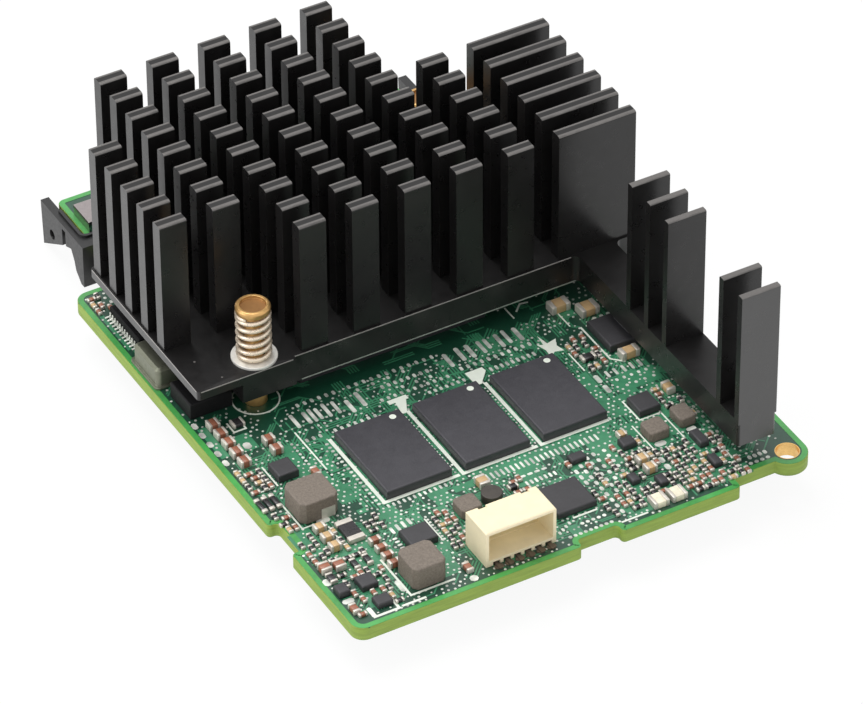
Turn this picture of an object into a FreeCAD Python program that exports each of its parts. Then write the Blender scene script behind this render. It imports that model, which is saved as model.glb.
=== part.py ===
import FreeCAD, Part
import math
import os

# A mezzanine storage controller card: a circuit board with a pin-fin heat sink held
# down by two sprung screws. All sizes are in millimetres.
#
# Every piece is drawn in board coordinates: x from the board's left edge, y from its
# front edge and z from its underside. The last step moves all of them together, so that
# the origin is at the bottom centre of the whole card.

# ---------------------------------------------------------------- circuit board
board_width = 55.2
shoulder_length = 63.3          # front edge to the cut-outs beside the rear tongue
tongue_length = 15.9
tongue_inset = 6.1              # how far each side of the tongue stands in from the board's side
board_thickness = 1.6
board_corner_radius = 1.5
tongue_corner_radius = 0.8
front_notch_left = 26.6
front_notch_width = 4.8
front_notch_depth = 1.2
side_notch_front = 14.0
side_notch_length = 5.0
side_notch_depth = 1.2
notch_radius = 0.5
ear_radius = 2.2                # rounded lug at the front right corner
ear_centre_from_front = 2.55
ear_hole_radius = 1.3
ear_recess_depth = 1.7          # the front edge stands back beside the ear
ear_recess_left = 45.8

# ---------------------------------------------------------------- controller chip
chip_substrate_size = 23.0
chip_substrate_thickness = 1.0
chip_cap_size = 18.0
chip_cap_thickness = 1.04
thermal_pad_thickness = 0.28
thermal_pad_margin = 1.0        # pad stands in from the edge of the cap

# ---------------------------------------------------------------- heat sink
sink_left_gap = 0.95            # board's left edge to the first column of pins
pin_pitch_x = 6.28
pin_pitch_y = 3.64
pin_width = 3.2
pin_thickness = 1.53
pin_edge_radius = 0.28          # rounding of the long edges at the tip
fin_height = 16.4
pin_columns = 9
pin_rows = 10
sink_back = 70.45               # rear face of the rearmost row of pins
slab_thickness = 3.5            # thick part of the base, over the chip
flange_thickness = 1.1          # thin part of the base, round the screws
slab_side_margin = 0.3          # the slab stands out from its outer column of pins
slab_front_margin = 0.25        # ledge in front of the foremost row of pins
flange_jog = 0.7                # step between the screw flange and the slab at the front
flange_rear_margin = 0.6        # flange behind the left column of pins
flange_side_margin = 0.2        # and beside it
screw_edge_margin = 2.5         # screw centre to the edge of the flange
sink_corner_radius = 0.4
arm_left_gap = 47.15            # board's left edge to the cooling arm
arm_width = 4.65
arm_front = 3.1
arm_thickness = 3.27
arm_fin_thickness = 0.85
arm_fin_edge_radius = 0.2
arm_fin_slots = (0, 1, 4, 5, 6)  # fins from the arm's front end, in steps of the row pitch
arm_root_radius = 0.8
pin_root_overlap = 0.4          # pins are grown from this far inside the base

# ---------------------------------------------------------------- sprung screws
front_screw = (8.8, 38.0)       # the two screws stand corner to corner across the chip
rear_screw = (42.2, 60.8)
screw_shank_radius = 1.0
screw_head_radius = 1.9
screw_head_height = 0.75
screw_head_edge = 0.2
head_dish_rim = 0.3
head_dish_depth = 0.35
spring_height = 5.95
spring_outer_radius = 1.95
spring_wire_radius = 0.27
spring_turns = 6.0
spring_seat_clearance = 0.02
washer_outer_radius = 2.5
washer_thickness = 0.35
washer_clearance = 0.15         # round the screw's shank
flange_hole_clearance = 0.3
board_hole_clearance = 0.1
nut_across_flats = 4.0
nut_thickness = 1.2
nut_thread_clearance = 0.01
screw_end_beyond_nut = 0.4
collar_outer_radius = 1.3       # collar on the board, round the shank
collar_height = 1.3
collar_clearance = 0.05

# ---------------------------------------------------------------- memory chips
memory_left = 12.75
memory_front = 16.55
memory_width = 7.8
memory_length = 11.4
memory_height = 1.1
memory_pitch = 9.42
memory_edge = 0.12

# ---------------------------------------------------------------- cable header
header_left = 16.1
header_front = 2.4
header_width = 9.1
header_depth = 4.1
header_height = 3.5
header_side_wall = 0.5
header_floor = 0.75
header_roof = 0.55
header_back_wall = 0.9
header_edge = 0.15
contact_count = 6
contact_pitch = 1.25
contact_width = 0.4
contact_thickness = 0.2
contact_slot_clearance = 0.05
lip_notch_width = 0.85          # arch under the front lip, over each contact's foot
lip_notch_height = 0.45
lip_notch_depth = 0.7
contact_tail = 1.1              # foot in front of the housing
contact_mouth_gap = 1.7         # blade tip to the mouth
blade_height = 1.75             # blade's underside above the board
roof_notch_width = 1.0
roof_notch_depth = 0.5
roof_notch_inset = 1.5

# ---------------------------------------------------------------- latches
latch_arm_width = 1.0
latch_side_gap = 0.6            # between the arm and the side of the tongue
latch_above_board = 0.5
latch_shoulder_gap = 6.4        # board's shoulder to the front of the latch
latch_length = 10.1
latch_hook_drop = 3.7           # hook tip below the underside of the board
latch_hook_length = 5.1
latch_hook_slope = 2.9          # rise of the hook's underside from tip to slot
latch_slot_width = 0.8
latch_slot_roof = 0.6           # thickness of the arm above the slot
latch_leg_length = 2.2
latch_leg_drop = 3.3
latch_leg_toe = 0.7
latch_neck_height = 0.1         # underside of the neck above the underside of the board
latch_eye_radius = 0.6
latch_foot_length = 3.2
latch_foot_depth = 1.8
latch_rim_width = 0.35          # raised rim along the inner edge of the arm and foot
latch_rim_height = 0.3
latch_rim_length = 5.6
latch_rim_radius = 0.9
latch_peg_radius = 0.6
latch_peg_clearance = 0.03

# ---------------------------------------------------------------- rear cable connector
rear_body_left = 7.0
rear_body_inset = 6.5           # front of the socket to the end of the tongue
rear_body_depth = 3.5
rear_body_height = 1.1
rear_slot_height = 0.5
rear_slot_depth = 2.4
rear_slot_side_wall = 1.4
shell_thickness = 0.25
shell_clearance = 0.02

# ---------------------------------------------------------------- underside connectors
plug_width = 42.0
plug_depth = 6.4
plug_height = 3.9
plug_slot_width = 2.6
plug_slot_depth = 2.4
plug_end_wall = 2.0
plug_edge = 0.3
plug_contact_pitch = 1.27
plug_contact_width = 0.5
plug_contact_thickness = 0.25
host_plug_y = 28.0
drive_plug_nut_gap = 0.2        # rear screw's nut to the front of the rear plug

# ---------------------------------------------------------------- other parts on the board
power_module_left = 45.3
power_module_front = 25.8
power_module_width = 5.7
power_module_length = 5.0
power_module_height = 1.0
arm_pad_margin = 0.9
crystal_left = 0.25
crystal_front = 44.3
crystal_width = 4.0
crystal_length = 6.2
crystal_height = 2.5
crystal_lip = 0.3
corner_module_left = 1.2
corner_module_front = 38.3
corner_module_width = 5.0
corner_module_length = 4.6
corner_module_height = 2.0
edge_chip_left = 2.0
edge_chip_front = 51.6
edge_chip_width = 5.0
edge_chip_length = 6.8
edge_chip_height = 1.3
edge_lead_count = 12
edge_lead_reach = 0.75
edge_lead_width = 0.25
edge_lead_thickness = 0.15
edge_lead_rise = 0.6
inductor_corner = 0.5
package_edge = 0.12

# ---------------------------------------------------------------- worked-out heights and places
board_top = board_thickness
board_length = shoulder_length + tongue_length
chip_height = chip_substrate_thickness + chip_cap_thickness
slab_bottom = board_top + chip_height + thermal_pad_thickness
base_top = slab_bottom + slab_thickness
flange_bottom = base_top - flange_thickness
arm_bottom = base_top - arm_thickness
fin_top = base_top + fin_height
sink_right = sink_left_gap + (pin_columns - 1) * pin_pitch_x + pin_width
sink_front = sink_back - (pin_rows - 1) * pin_pitch_y - pin_thickness - slab_front_margin
chip_centre = ((front_screw[0] + rear_screw[0]) / 2, (front_screw[1] + rear_screw[1]) / 2)
washer_top = base_top + washer_thickness
head_bottom = washer_top + spring_height
latch_front = shoulder_length + latch_shoulder_gap
latch_back = latch_front + latch_length
rear_body_front = board_length - rear_body_inset
drive_plug_front = rear_screw[1] + nut_across_flats / 2 + drive_plug_nut_gap
drive_plug_y = drive_plug_front + plug_depth / 2
card_bottom = -plug_height
card_back = max(board_length, latch_back)


def vector(x, y, z=0.0):
    return FreeCAD.Vector(x, y, z)


def block(left, front, bottom, width, length, height):
    return Part.makeBox(width, length, height, vector(left, front, bottom))


def rounded_wire(corners):
    """Closed flat outline through corners (x, y, radius), each rounded with a tangent arc."""
    edges = []
    starts, ends = [], []
    count = len(corners)
    for i in range(count):
        here = vector(corners[i][0], corners[i][1])
        radius = corners[i][2]
        if radius <= 0:
            starts.append(here)
            ends.append(here)
            continue
        before = vector(corners[i - 1][0], corners[i - 1][1]) - here
        after = vector(corners[(i + 1) % count][0], corners[(i + 1) % count][1]) - here
        half = before.getAngle(after) / 2
        before.normalize()
        after.normalize()
        reach = radius / math.tan(half)
        start, end = here + before * reach, here + after * reach
        bisector = before + after
        bisector.normalize()
        middle = here + bisector * (radius / math.sin(half) - radius)
        edges.append(Part.Arc(start, middle, end).toShape())
        starts.append(start)
        ends.append(end)
    for i in range(count):
        a, b = ends[i], starts[(i + 1) % count]
        if a.distanceToPoint(b) > 1e-6:
            edges.append(Part.LineSegment(a, b).toShape())
    return Part.Wire(Part.sortEdges(edges)[0])


def plate(corners, bottom, height):
    """Upright solid on a rounded outline."""
    face = Part.Face(rounded_wire(corners))
    face.translate(vector(0, 0, bottom))
    return face.extrude(vector(0, 0, height))


def rectangle(left, front, width, length, radius=0.0):
    return [(left, front, radius), (left + width, front, radius),
            (left + width, front + length, radius), (left, front + length, radius)]


def package(left, front, width, length, height, edge=package_edge, bottom=board_top, corner=0.0):
    """Moulded component body: upright sides and a chamfer round its top face."""
    body = plate(rectangle(left, front, width, length, corner), bottom, height)
    rim = [e for e in body.Edges
           if all(abs(v.Point.z - (bottom + height)) < 1e-6 for v in e.Vertexes)]
    return body.makeChamfer(edge, rim)


def cylinder(centre, radius, bottom, height):
    return Part.makeCylinder(radius, height, vector(centre[0], centre[1], bottom))


def fused(shapes):
    return shapes[0].multiFuse(shapes[1:]).removeSplitter()


# ---------------------------------------------------------------- circuit board
def latch_peg_centre(mirrored):
    x = tongue_inset + latch_foot_length - latch_foot_depth / 2
    if mirrored:
        x = board_width - x
    return (x, latch_front + latch_foot_depth / 2)


def circuit_board():
    right = board_width
    ear_x = right - ear_radius
    notch_right = front_notch_left + front_notch_width
    side_notch_back = side_notch_front + side_notch_length
    tongue_right = right - tongue_inset
    outline = [
        (0, 0, board_corner_radius),
        (front_notch_left, 0, notch_radius),
        (front_notch_left, front_notch_depth, notch_radius),
        (notch_right, front_notch_depth, notch_radius),
        (notch_right, 0, notch_radius),
        (ear_recess_left, 0, notch_radius),
        (ear_recess_left, ear_recess_depth, notch_radius),
        (ear_x, ear_recess_depth, 0),
        (ear_x, ear_centre_from_front, 0),
        (right, ear_centre_from_front, 0),
        (right, shoulder_length, board_corner_radius),
        (tongue_right, shoulder_length, tongue_corner_radius),
        (tongue_right, board_length, tongue_corner_radius),
        (tongue_inset, board_length, tongue_corner_radius),
        (tongue_inset, shoulder_length, tongue_corner_radius),
        (0, shoulder_length, board_corner_radius),
        (0, side_notch_back, notch_radius),
        (side_notch_depth, side_notch_back, notch_radius),
        (side_notch_depth, side_notch_front, notch_radius),
        (0, side_notch_front, notch_radius),
    ]
    ear_centre = (ear_x, ear_centre_from_front)
    board = fused([plate(outline, 0, board_thickness),
                   cylinder(ear_centre, ear_radius, 0, board_thickness)])
    holes = [cylinder(ear_centre, ear_hole_radius, -1, board_thickness + 2)]
    for centre in (front_screw, rear_screw):
        radius = screw_shank_radius + board_hole_clearance
        holes.append(cylinder(centre, radius, -1, board_thickness + 2))
    for mirrored in (False, True):
        radius = latch_peg_radius + latch_peg_clearance
        holes.append(cylinder(latch_peg_centre(mirrored), radius, -1, board_thickness + 2))
    return board.cut(Part.Compound(holes))


# ---------------------------------------------------------------- heat sink
def column_left(column):
    return sink_left_gap + column * pin_pitch_x


def row_back(row):
    return sink_back - row * pin_pitch_y


def fin(left, right, back, thickness, edge_radius):
    """Upright fin along x, with its two long tip edges rounded."""
    front = back - thickness
    bottom = base_top - pin_root_overlap
    tip = fin_top - edge_radius
    lean = edge_radius * math.cos(math.pi / 4)
    start = vector(left, front, bottom)
    points = [start, vector(left, front, tip),
              vector(left, front + edge_radius, fin_top),
              vector(left, back - edge_radius, fin_top),
              vector(left, back, tip), vector(left, back, bottom)]
    front_mid = vector(left, front + edge_radius - lean, tip + lean)
    back_mid = vector(left, back - edge_radius + lean, tip + lean)
    edges = [Part.LineSegment(points[0], points[1]).toShape(),
             Part.Arc(points[1], front_mid, points[2]).toShape(),
             Part.LineSegment(points[2], points[3]).toShape(),
             Part.Arc(points[3], back_mid, points[4]).toShape(),
             Part.LineSegment(points[4], points[5]).toShape(),
             Part.LineSegment(points[5], points[0]).toShape()]
    return Part.Face(Part.Wire(edges)).extrude(vector(right - left, 0, 0))


def pin_rows_of(column):
    """Rows that carry a pin: the corners round the two screws are left clear."""
    if column == 0:
        return range(3, 8)
    if column == 1:
        return range(0, 8)
    if column < 6:
        return range(0, pin_rows)
    return range(4, pin_rows)


def sink_fins():
    fins = []
    last_full_column = pin_columns - 3
    for column in range(last_full_column + 1):
        left = column_left(column)
        for row in pin_rows_of(column):
            fins.append(fin(left, left + pin_width, row_back(row), pin_thickness, pin_edge_radius))
    wide_left = column_left(last_full_column + 1)
    for row in pin_rows_of(last_full_column + 1):
        fins.append(fin(wide_left, sink_right, row_back(row), pin_thickness, pin_edge_radius))
    for step in arm_fin_slots:
        back = arm_front + arm_fin_thickness + step * pin_pitch_y
        fins.append(fin(arm_left_gap, arm_left_gap + arm_width, back,
                        arm_fin_thickness, arm_fin_edge_radius))
    return fins


def sink_base():
    """Thin flange over the whole plan, thick slab over the chip, and the arm."""
    r = sink_corner_radius
    flange_left = sink_left_gap - flange_side_margin
    flange_front = front_screw[1] - screw_edge_margin
    slab_left = column_left(2) - slab_side_margin
    left_column_back = row_back(3) + flange_rear_margin
    second_column_left = column_left(1) - slab_side_margin
    rear_flange_left = column_left(6) - slab_side_margin
    rear_flange_back = rear_screw[1] + screw_edge_margin
    rear_slab_back = row_back(4)
    flange = plate([
        (flange_left, flange_front, r),
        (slab_left - flange_jog, flange_front, r),
        (slab_left - flange_jog, sink_front, 0),
        (sink_right, sink_front, r),
        (sink_right, rear_flange_back, r),
        (rear_flange_left, rear_flange_back, r),
        (rear_flange_left, sink_back, r),
        (second_column_left, sink_back, r),
        (second_column_left, left_column_back, r),
        (flange_left, left_column_back, r),
    ], flange_bottom, flange_thickness)
    slab = plate([
        (slab_left, sink_front, 0),
        (sink_right, sink_front, r),
        (sink_right, rear_slab_back, r),
        (rear_flange_left, rear_slab_back, 0),
        (rear_flange_left, sink_back, r),
        (slab_left, sink_back, r),
    ], slab_bottom, slab_thickness)
    root = arm_root_radius
    arm_right = arm_left_gap + arm_width
    inner = sink_front + root
    arm = plate([
        (arm_left_gap, arm_front, r),
        (arm_right, arm_front, r),
        (arm_right, sink_front, root),
        (arm_right + root, sink_front, 0),
        (arm_right + root, inner, 0),
        (arm_left_gap - root, inner, 0),
        (arm_left_gap - root, sink_front, 0),
        (arm_left_gap, sink_front, root),
    ], arm_bottom, arm_thickness)
    return [flange, slab, arm]


def heat_sink():
    body = fused(sink_base() + sink_fins())
    holes = [cylinder(centre, screw_shank_radius + flange_hole_clearance,
                      flange_bottom - 1, flange_thickness + 2)
             for centre in (front_screw, rear_screw)]
    return body.cut(Part.Compound(holes))


def controller_chip():
    half = chip_substrate_size / 2
    substrate = plate(rectangle(chip_centre[0] - half, chip_centre[1] - half,
                                chip_substrate_size, chip_substrate_size, 0.3),
                      board_top, chip_substrate_thickness)
    half = chip_cap_size / 2
    cap = package(chip_centre[0] - half, chip_centre[1] - half, chip_cap_size, chip_cap_size,
                  chip_cap_thickness, bottom=board_top + chip_substrate_thickness, corner=0.8)
    return fused([substrate, cap])


def controller_thermal_pad():
    size = chip_cap_size - 2 * thermal_pad_margin
    return plate(rectangle(chip_centre[0] - size / 2, chip_centre[1] - size / 2, size, size, 0.5),
                 board_top + chip_height, thermal_pad_thickness)


def power_module():
    return package(power_module_left, power_module_front, power_module_width,
                   power_module_length, power_module_height)


def arm_thermal_pad():
    left = arm_left_gap + arm_pad_margin
    right = power_module_left + power_module_width - arm_pad_margin
    bottom = board_top + power_module_height
    return plate(rectangle(left, power_module_front + arm_pad_margin, right - left,
                           power_module_length - 2 * arm_pad_margin, 0.3),
                 bottom, arm_bottom - bottom)


# ---------------------------------------------------------------- sprung screws
def spring_screw(centre):
    shank_bottom = -nut_thickness - screw_end_beyond_nut
    shank = cylinder(centre, screw_shank_radius, shank_bottom, head_bottom - shank_bottom)
    head = cylinder(centre, screw_head_radius, head_bottom, screw_head_height)
    rim = [e for e in head.Edges if e.Closed and len(e.Vertexes) == 1
           and abs(e.Vertexes[0].Point.z - (head_bottom + screw_head_height)) < 1e-6]
    head = head.makeChamfer(screw_head_edge, rim)
    dish = cylinder(centre, screw_head_radius - screw_head_edge - head_dish_rim,
                    head_bottom + screw_head_height - head_dish_depth, 2 * head_dish_depth)
    return fused([shank, head]).cut(dish)


def coil_spring(centre):
    mean_radius = spring_outer_radius - spring_wire_radius
    end_gap = spring_wire_radius + spring_seat_clearance
    rise = spring_height - 2 * end_gap
    helix = Part.makeHelix(rise / spring_turns, rise, mean_radius)
    section = Part.Wire(Part.makeCircle(spring_wire_radius, vector(mean_radius, 0, 0),
                                        vector(0, 1, 0)))
    coil = Part.Wire(helix.Edges).makePipeShell([section], True, True)
    coil.translate(vector(centre[0], centre[1], washer_top + end_gap))
    return coil


def screw_washer(centre):
    outer = cylinder(centre, washer_outer_radius, base_top, washer_thickness)
    return outer.cut(cylinder(centre, screw_shank_radius + washer_clearance,
                              base_top - 1, washer_thickness + 2))


def screw_nut(centre):
    corner_radius = nut_across_flats / math.sqrt(3)
    corners = [(centre[0] + corner_radius * math.cos(math.radians(60 * i)),
                centre[1] + corner_radius * math.sin(math.radians(60 * i)), 0) for i in range(6)]
    nut = plate(corners, -nut_thickness, nut_thickness)
    return nut.cut(cylinder(centre, screw_shank_radius + nut_thread_clearance,
                            -nut_thickness - 1, nut_thickness + 2))


def screw_collar(centre):
    collar = cylinder(centre, collar_outer_radius, board_top, collar_height)
    return collar.cut(cylinder(centre, screw_shank_radius + collar_clearance,
                               board_top - 1, collar_height + 2))


# ---------------------------------------------------------------- memory and cable header
def memory_chip(index):
    return package(memory_left + index * memory_pitch, memory_front, memory_width,
                   memory_length, memory_height, memory_edge)


def contact_left(index):
    middle = header_left + header_width / 2
    return middle + (index - (contact_count - 1) / 2) * contact_pitch - contact_width / 2


def header_housing():
    """Side-entry housing: an open-fronted box with a way under its floor for each contact."""
    shell = package(header_left, header_front, header_width, header_depth, header_height,
                    header_edge)
    cavity = block(header_left + header_side_wall, header_front - 1, board_top + header_floor,
                   header_width - 2 * header_side_wall, header_depth - header_back_wall + 1,
                   header_height - header_floor - header_roof)
    cuts = [cavity]
    clear = contact_slot_clearance
    riser_back = header_front + header_depth - header_back_wall
    slot_width = contact_width + 2 * clear
    for i in range(contact_count):
        slot_left = contact_left(i) - clear
        notch_left = contact_left(i) + contact_width / 2 - lip_notch_width / 2
        cuts.append(block(notch_left, header_front - 1, board_top - 1, lip_notch_width,
                          1 + lip_notch_depth, 1 + lip_notch_height))
        cuts.append(block(slot_left, header_front - 1, board_top - 1, slot_width,
                          1 + riser_back - header_front + clear, 1 + contact_thickness + clear))
        cuts.append(block(slot_left, riser_back - contact_thickness - clear, board_top - 1,
                          slot_width, contact_thickness + 2 * clear, 1 + header_floor + clear))
    for side in (0, 1):
        notch_left = header_left + roof_notch_inset
        if side:
            notch_left = header_left + header_width - roof_notch_inset - roof_notch_width
        cuts.append(block(notch_left, header_front + header_depth - roof_notch_depth,
                          board_top + header_height - header_roof,
                          roof_notch_width, 2 * roof_notch_depth, 2 * header_roof))
    return shell.cut(Part.Compound(cuts))


def header_contact(index):
    """Bent strip: a foot on the board, a riser at the back and a blade in the mouth."""
    left = contact_left(index)
    riser_back = header_front + header_depth - header_back_wall
    foot = block(left, header_front - contact_tail, board_top, contact_width,
                 contact_tail + header_depth - header_back_wall, contact_thickness)
    riser = block(left, riser_back - contact_thickness, board_top, contact_width,
                  contact_thickness, blade_height + contact_thickness)
    blade = block(left, header_front + contact_mouth_gap, board_top + blade_height,
                  contact_width, riser_back - header_front - contact_mouth_gap, contact_thickness)
    return fused([foot, riser, blade])


# ---------------------------------------------------------------- latches
def latch_profile():
    """Side view of the arm, as (y, z) corners: hook at the back, leg at the front."""
    top = board_top + latch_above_board
    hook_front = latch_back - latch_hook_length
    slot_front = hook_front - latch_slot_width
    leg_back = latch_front + latch_leg_length
    leg_bottom = -latch_leg_drop
    return [
        (latch_back, top), (latch_back - latch_slot_roof / 2, -latch_hook_drop),
        (hook_front, latch_hook_slope - latch_hook_drop), (hook_front, top - latch_slot_roof),
        (slot_front, top - latch_slot_roof), (slot_front, latch_neck_height - latch_above_board),
        (leg_back + latch_leg_toe, latch_neck_height), (leg_back, leg_bottom / 3),
        (leg_back - latch_leg_toe / 2, 2 * leg_bottom / 3),
        (latch_front + latch_leg_toe, leg_bottom), (latch_front, leg_bottom),
        (latch_front, top),
    ]


def latch(mirrored):
    """Snap hook beside the rear tongue, held to the board by a foot and a peg."""
    top = board_top + latch_above_board
    left = tongue_inset - latch_side_gap - latch_arm_width
    inner = left + latch_arm_width
    points = [vector(left, y, z) for y, z in latch_profile()]
    face = Part.Face(Part.makePolygon(points + points[:1]))
    arm = face.extrude(vector(latch_arm_width, 0, 0))
    leg_back = latch_front + latch_leg_length
    leg = face.extrude(vector(tongue_inset - left, 0, 0)).common(
        block(left, latch_front, -latch_leg_drop, tongue_inset - left,
              leg_back - latch_front, latch_leg_drop + top))
    eye_y = latch_back - latch_hook_length / 2
    eye_z = latch_hook_slope / 2 - latch_hook_drop + 2 * latch_eye_radius
    eye = Part.makeCylinder(latch_eye_radius, 3 * latch_arm_width,
                            vector(left - latch_arm_width, eye_y, eye_z), vector(1, 0, 0))
    arm = arm.cut(eye)
    foot_left = left + latch_arm_width / 2
    foot_right = tongue_inset + latch_foot_length
    foot_back = latch_front + latch_foot_depth
    foot = plate(rectangle(foot_left, latch_front, foot_right - foot_left, latch_foot_depth),
                 board_top, latch_above_board)
    peg = cylinder(latch_peg_centre(False), latch_peg_radius, 0, board_top + latch_above_board / 2)
    w = latch_rim_width
    rim_back = foot_back + latch_rim_length - w
    rim = plate([(inner - w, foot_back - w, latch_rim_radius),
                 (foot_right, foot_back - w, 0), (foot_right, foot_back, 0),
                 (inner, foot_back, latch_rim_radius - w),
                 (inner, rim_back, 0), (inner - w, rim_back, 0)],
                top - latch_above_board / 2, latch_above_board / 2 + latch_rim_height)
    whole = fused([arm, leg, foot, peg, rim])
    if mirrored:
        whole = whole.mirror(vector(board_width / 2, 0, 0), vector(1, 0, 0))
    return whole


# ---------------------------------------------------------------- rear cable connector
def rear_connector_body():
    """Low socket on the tongue; its slot opens to the rear."""
    width = board_width - 2 * rear_body_left
    body = package(rear_body_left, rear_body_front, width, rear_body_depth, rear_body_height)
    slot_bottom = board_top + (rear_body_height - rear_slot_height) / 2
    back = rear_body_front + rear_body_depth
    slot = block(rear_body_left + rear_slot_side_wall, back - rear_slot_depth, slot_bottom,
                 width - 2 * rear_slot_side_wall, rear_slot_depth + 1, rear_slot_height)
    return body.cut(slot)


def rear_connector_shell():
    """Folded metal cover over the socket, open at the back."""
    t = shell_thickness
    gap = shell_clearance
    left = rear_body_left - gap - t
    width = board_width - 2 * left
    front = rear_body_front - gap - t
    depth = rear_body_depth + gap + t
    height = rear_body_height + gap + t
    outer = block(left, front, board_top, width, depth, height)
    inner = block(left + t, front + t, board_top - 1, width - 2 * t, depth, height - t + 1)
    return outer.cut(inner)


# ---------------------------------------------------------------- underside connectors
def plug_left():
    return (board_width - plug_width) / 2


def plug_housing(centre_y):
    """Board-to-board connector under the card, with one long slot facing down."""
    front = centre_y - plug_depth / 2
    body = plate(rectangle(plug_left(), front, plug_width, plug_depth, plug_edge),
                 -plug_height, plug_height)
    slot = block(plug_left() + plug_end_wall, centre_y - plug_slot_width / 2, -plug_height - 1,
                 plug_width - 2 * plug_end_wall, plug_slot_width, plug_slot_depth + 1)
    return body.cut(slot)


def plug_contacts(centre_y):
    """Two rows of flat contacts along the walls of the slot."""
    length = plug_width - 2 * plug_end_wall
    count = int(length / plug_contact_pitch) - 1
    first = board_width / 2 - (count - 1) * plug_contact_pitch / 2 - plug_contact_width / 2
    rows = (centre_y - plug_slot_width / 2,
            centre_y + plug_slot_width / 2 - plug_contact_thickness)
    contacts = []
    for i in range(count):
        for front in rows:
            contacts.append(block(first + i * plug_contact_pitch, front,
                                  plug_edge - plug_height, plug_contact_width,
                                  plug_contact_thickness, plug_slot_depth - plug_edge))
    return contacts


# ---------------------------------------------------------------- other board parts
def crystal_can():
    base = plate(rectangle(crystal_left, crystal_front, crystal_width, crystal_length,
                           2 * crystal_lip), board_top, crystal_lip)
    can = package(crystal_left + crystal_lip, crystal_front + crystal_lip,
                  crystal_width - 2 * crystal_lip, crystal_length - 2 * crystal_lip,
                  crystal_height - crystal_lip, edge=crystal_lip,
                  bottom=board_top + crystal_lip, corner=2 * crystal_lip)
    return fused([base, can])


def corner_module():
    return package(corner_module_left, corner_module_front, corner_module_width,
                   corner_module_length, corner_module_height)


def edge_chip():
    return package(edge_chip_left, edge_chip_front, edge_chip_width, edge_chip_length,
                   edge_chip_height)


def edge_chip_leads():
    """Two rows of gull-wing leads: a foot on the board and a riser to the body."""
    leads = []
    pitch = edge_chip_length / edge_lead_count
    t = edge_lead_thickness
    for i in range(edge_lead_count):
        front = edge_chip_front + (i + 0.5) * pitch - edge_lead_width / 2
        for side in (0, 1):
            if side:
                body_side = edge_chip_left + edge_chip_width
                foot_left, riser_left = body_side, body_side
            else:
                body_side = edge_chip_left
                foot_left, riser_left = body_side - edge_lead_reach, body_side - t
            foot = block(foot_left, front, board_top, edge_lead_reach, edge_lead_width, t)
            riser = block(riser_left, front, board_top, t, edge_lead_width, edge_lead_rise)
            leads.append(fused([foot, riser]))
    return leads


def moulded_inductor(left, front, width, length, height):
    """Pressed-powder inductor with cut corners."""
    c = inductor_corner * min(width, length) / 4
    right, back = left + width, front + length
    outline = [(left + c, front, 0), (right - c, front, 0), (right, front + c, 0),
               (right, back - c, 0), (right - c, back, 0), (left + c, back, 0),
               (left, back - c, 0), (left, front + c, 0)]
    body = plate(outline, board_top, height)
    rim = [e for e in body.Edges
           if all(abs(v.Point.z - (board_top + height)) < 1e-6 for v in e.Vertexes)]
    return body.makeChamfer(package_edge, rim)


# Each entry is left, front, width, length, height, in board coordinates.
inductors = {
    "inductor_large": (3.1, 17.3, 4.5, 4.3, 2.6),
    "inductor_tall": (8.1, 2.5, 3.9, 4.0, 2.7),
    "inductor_small_left": (17.9, 9.7, 2.5, 2.5, 1.2),
    "inductor_small_middle": (41.2, 10.7, 2.5, 2.5, 1.2),
    "inductor_small_right": (45.2, 11.2, 2.0, 2.6, 1.2),
}

chips = {
    "regulator_chip": (4.3, 24.5, 2.4, 2.5, 1.0),
    "driver_chip": (10.9, 8.1, 3.2, 2.8, 0.9),
    "bridge_chip": (26.5, 4.9, 4.7, 4.6, 0.8),
    "logic_chip": (42.4, 14.9, 2.6, 2.8, 0.9),
}

small_packages = [
    (38.1, 11.0, 1.6, 1.4, 0.8), (32.2, 11.7, 1.8, 1.2, 0.7), (45.3, 7.4, 1.1, 2.4, 0.8),
    (36.0, 5.7, 1.0, 1.4, 0.7), (38.4, 4.0, 1.0, 1.5, 0.7), (44.9, 3.9, 1.0, 1.7, 0.7),
    (3.4, 5.0, 1.9, 1.9, 0.8), (0.9, 5.3, 1.3, 1.5, 0.8), (3.5, 1.9, 1.8, 1.5, 0.7),
]

status_leds = [(36.0, 1.2, 1.8, 1.7, 0.8), (38.2, 1.2, 1.8, 1.7, 0.8)]

round_inductor_centre = (22.2, 11.2)
round_inductor_radius = 1.15
round_inductor_height = 1.1

brown_column_step = 1.75
short_column_step = 1.35
brown_capacitors = (
    [(2.0, 28.4 + i * brown_column_step, 1.25, 1.2, 0.9) for i in range(5)]
    + [(7.6, 6.7 + i * short_column_step, 1.3, 0.8, 0.8) for i in range(4)]
    + [(5.9, 28.6 + i * brown_column_step, 1.25, 1.1, 0.9) for i in range(2)]
    + [(1.1, 9.3, 1.2, 1.3, 0.8), (2.6, 9.0, 1.2, 1.3, 0.8), (14.1, 2.1, 0.8, 1.4, 0.6),
       (0.9, 2.3, 0.8, 1.4, 0.6), (7.9, 23.2, 0.8, 1.4, 0.7)]
)

tan_column_step = 1.65
tan_capacitors = (
    [(3.6, 11.9 + i * tan_column_step, 1.3, 1.0, 0.9) for i in range(3)]
    + [(38.2, 6.4 + i * tan_column_step, 1.3, 1.1, 0.9) for i in range(2)]
    + [(21.9, 12.9, 1.2, 1.6, 0.9), (43.2, 34.4, 2.3, 1.5, 1.0), (45.7, 32.3, 2.2, 1.7, 1.0),
       (45.7, 23.9, 2.2, 1.2, 1.0), (38.6, 12.7, 1.0, 1.0, 0.7), (46.9, 16.6, 1.0, 1.6, 0.8)]
)

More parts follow.
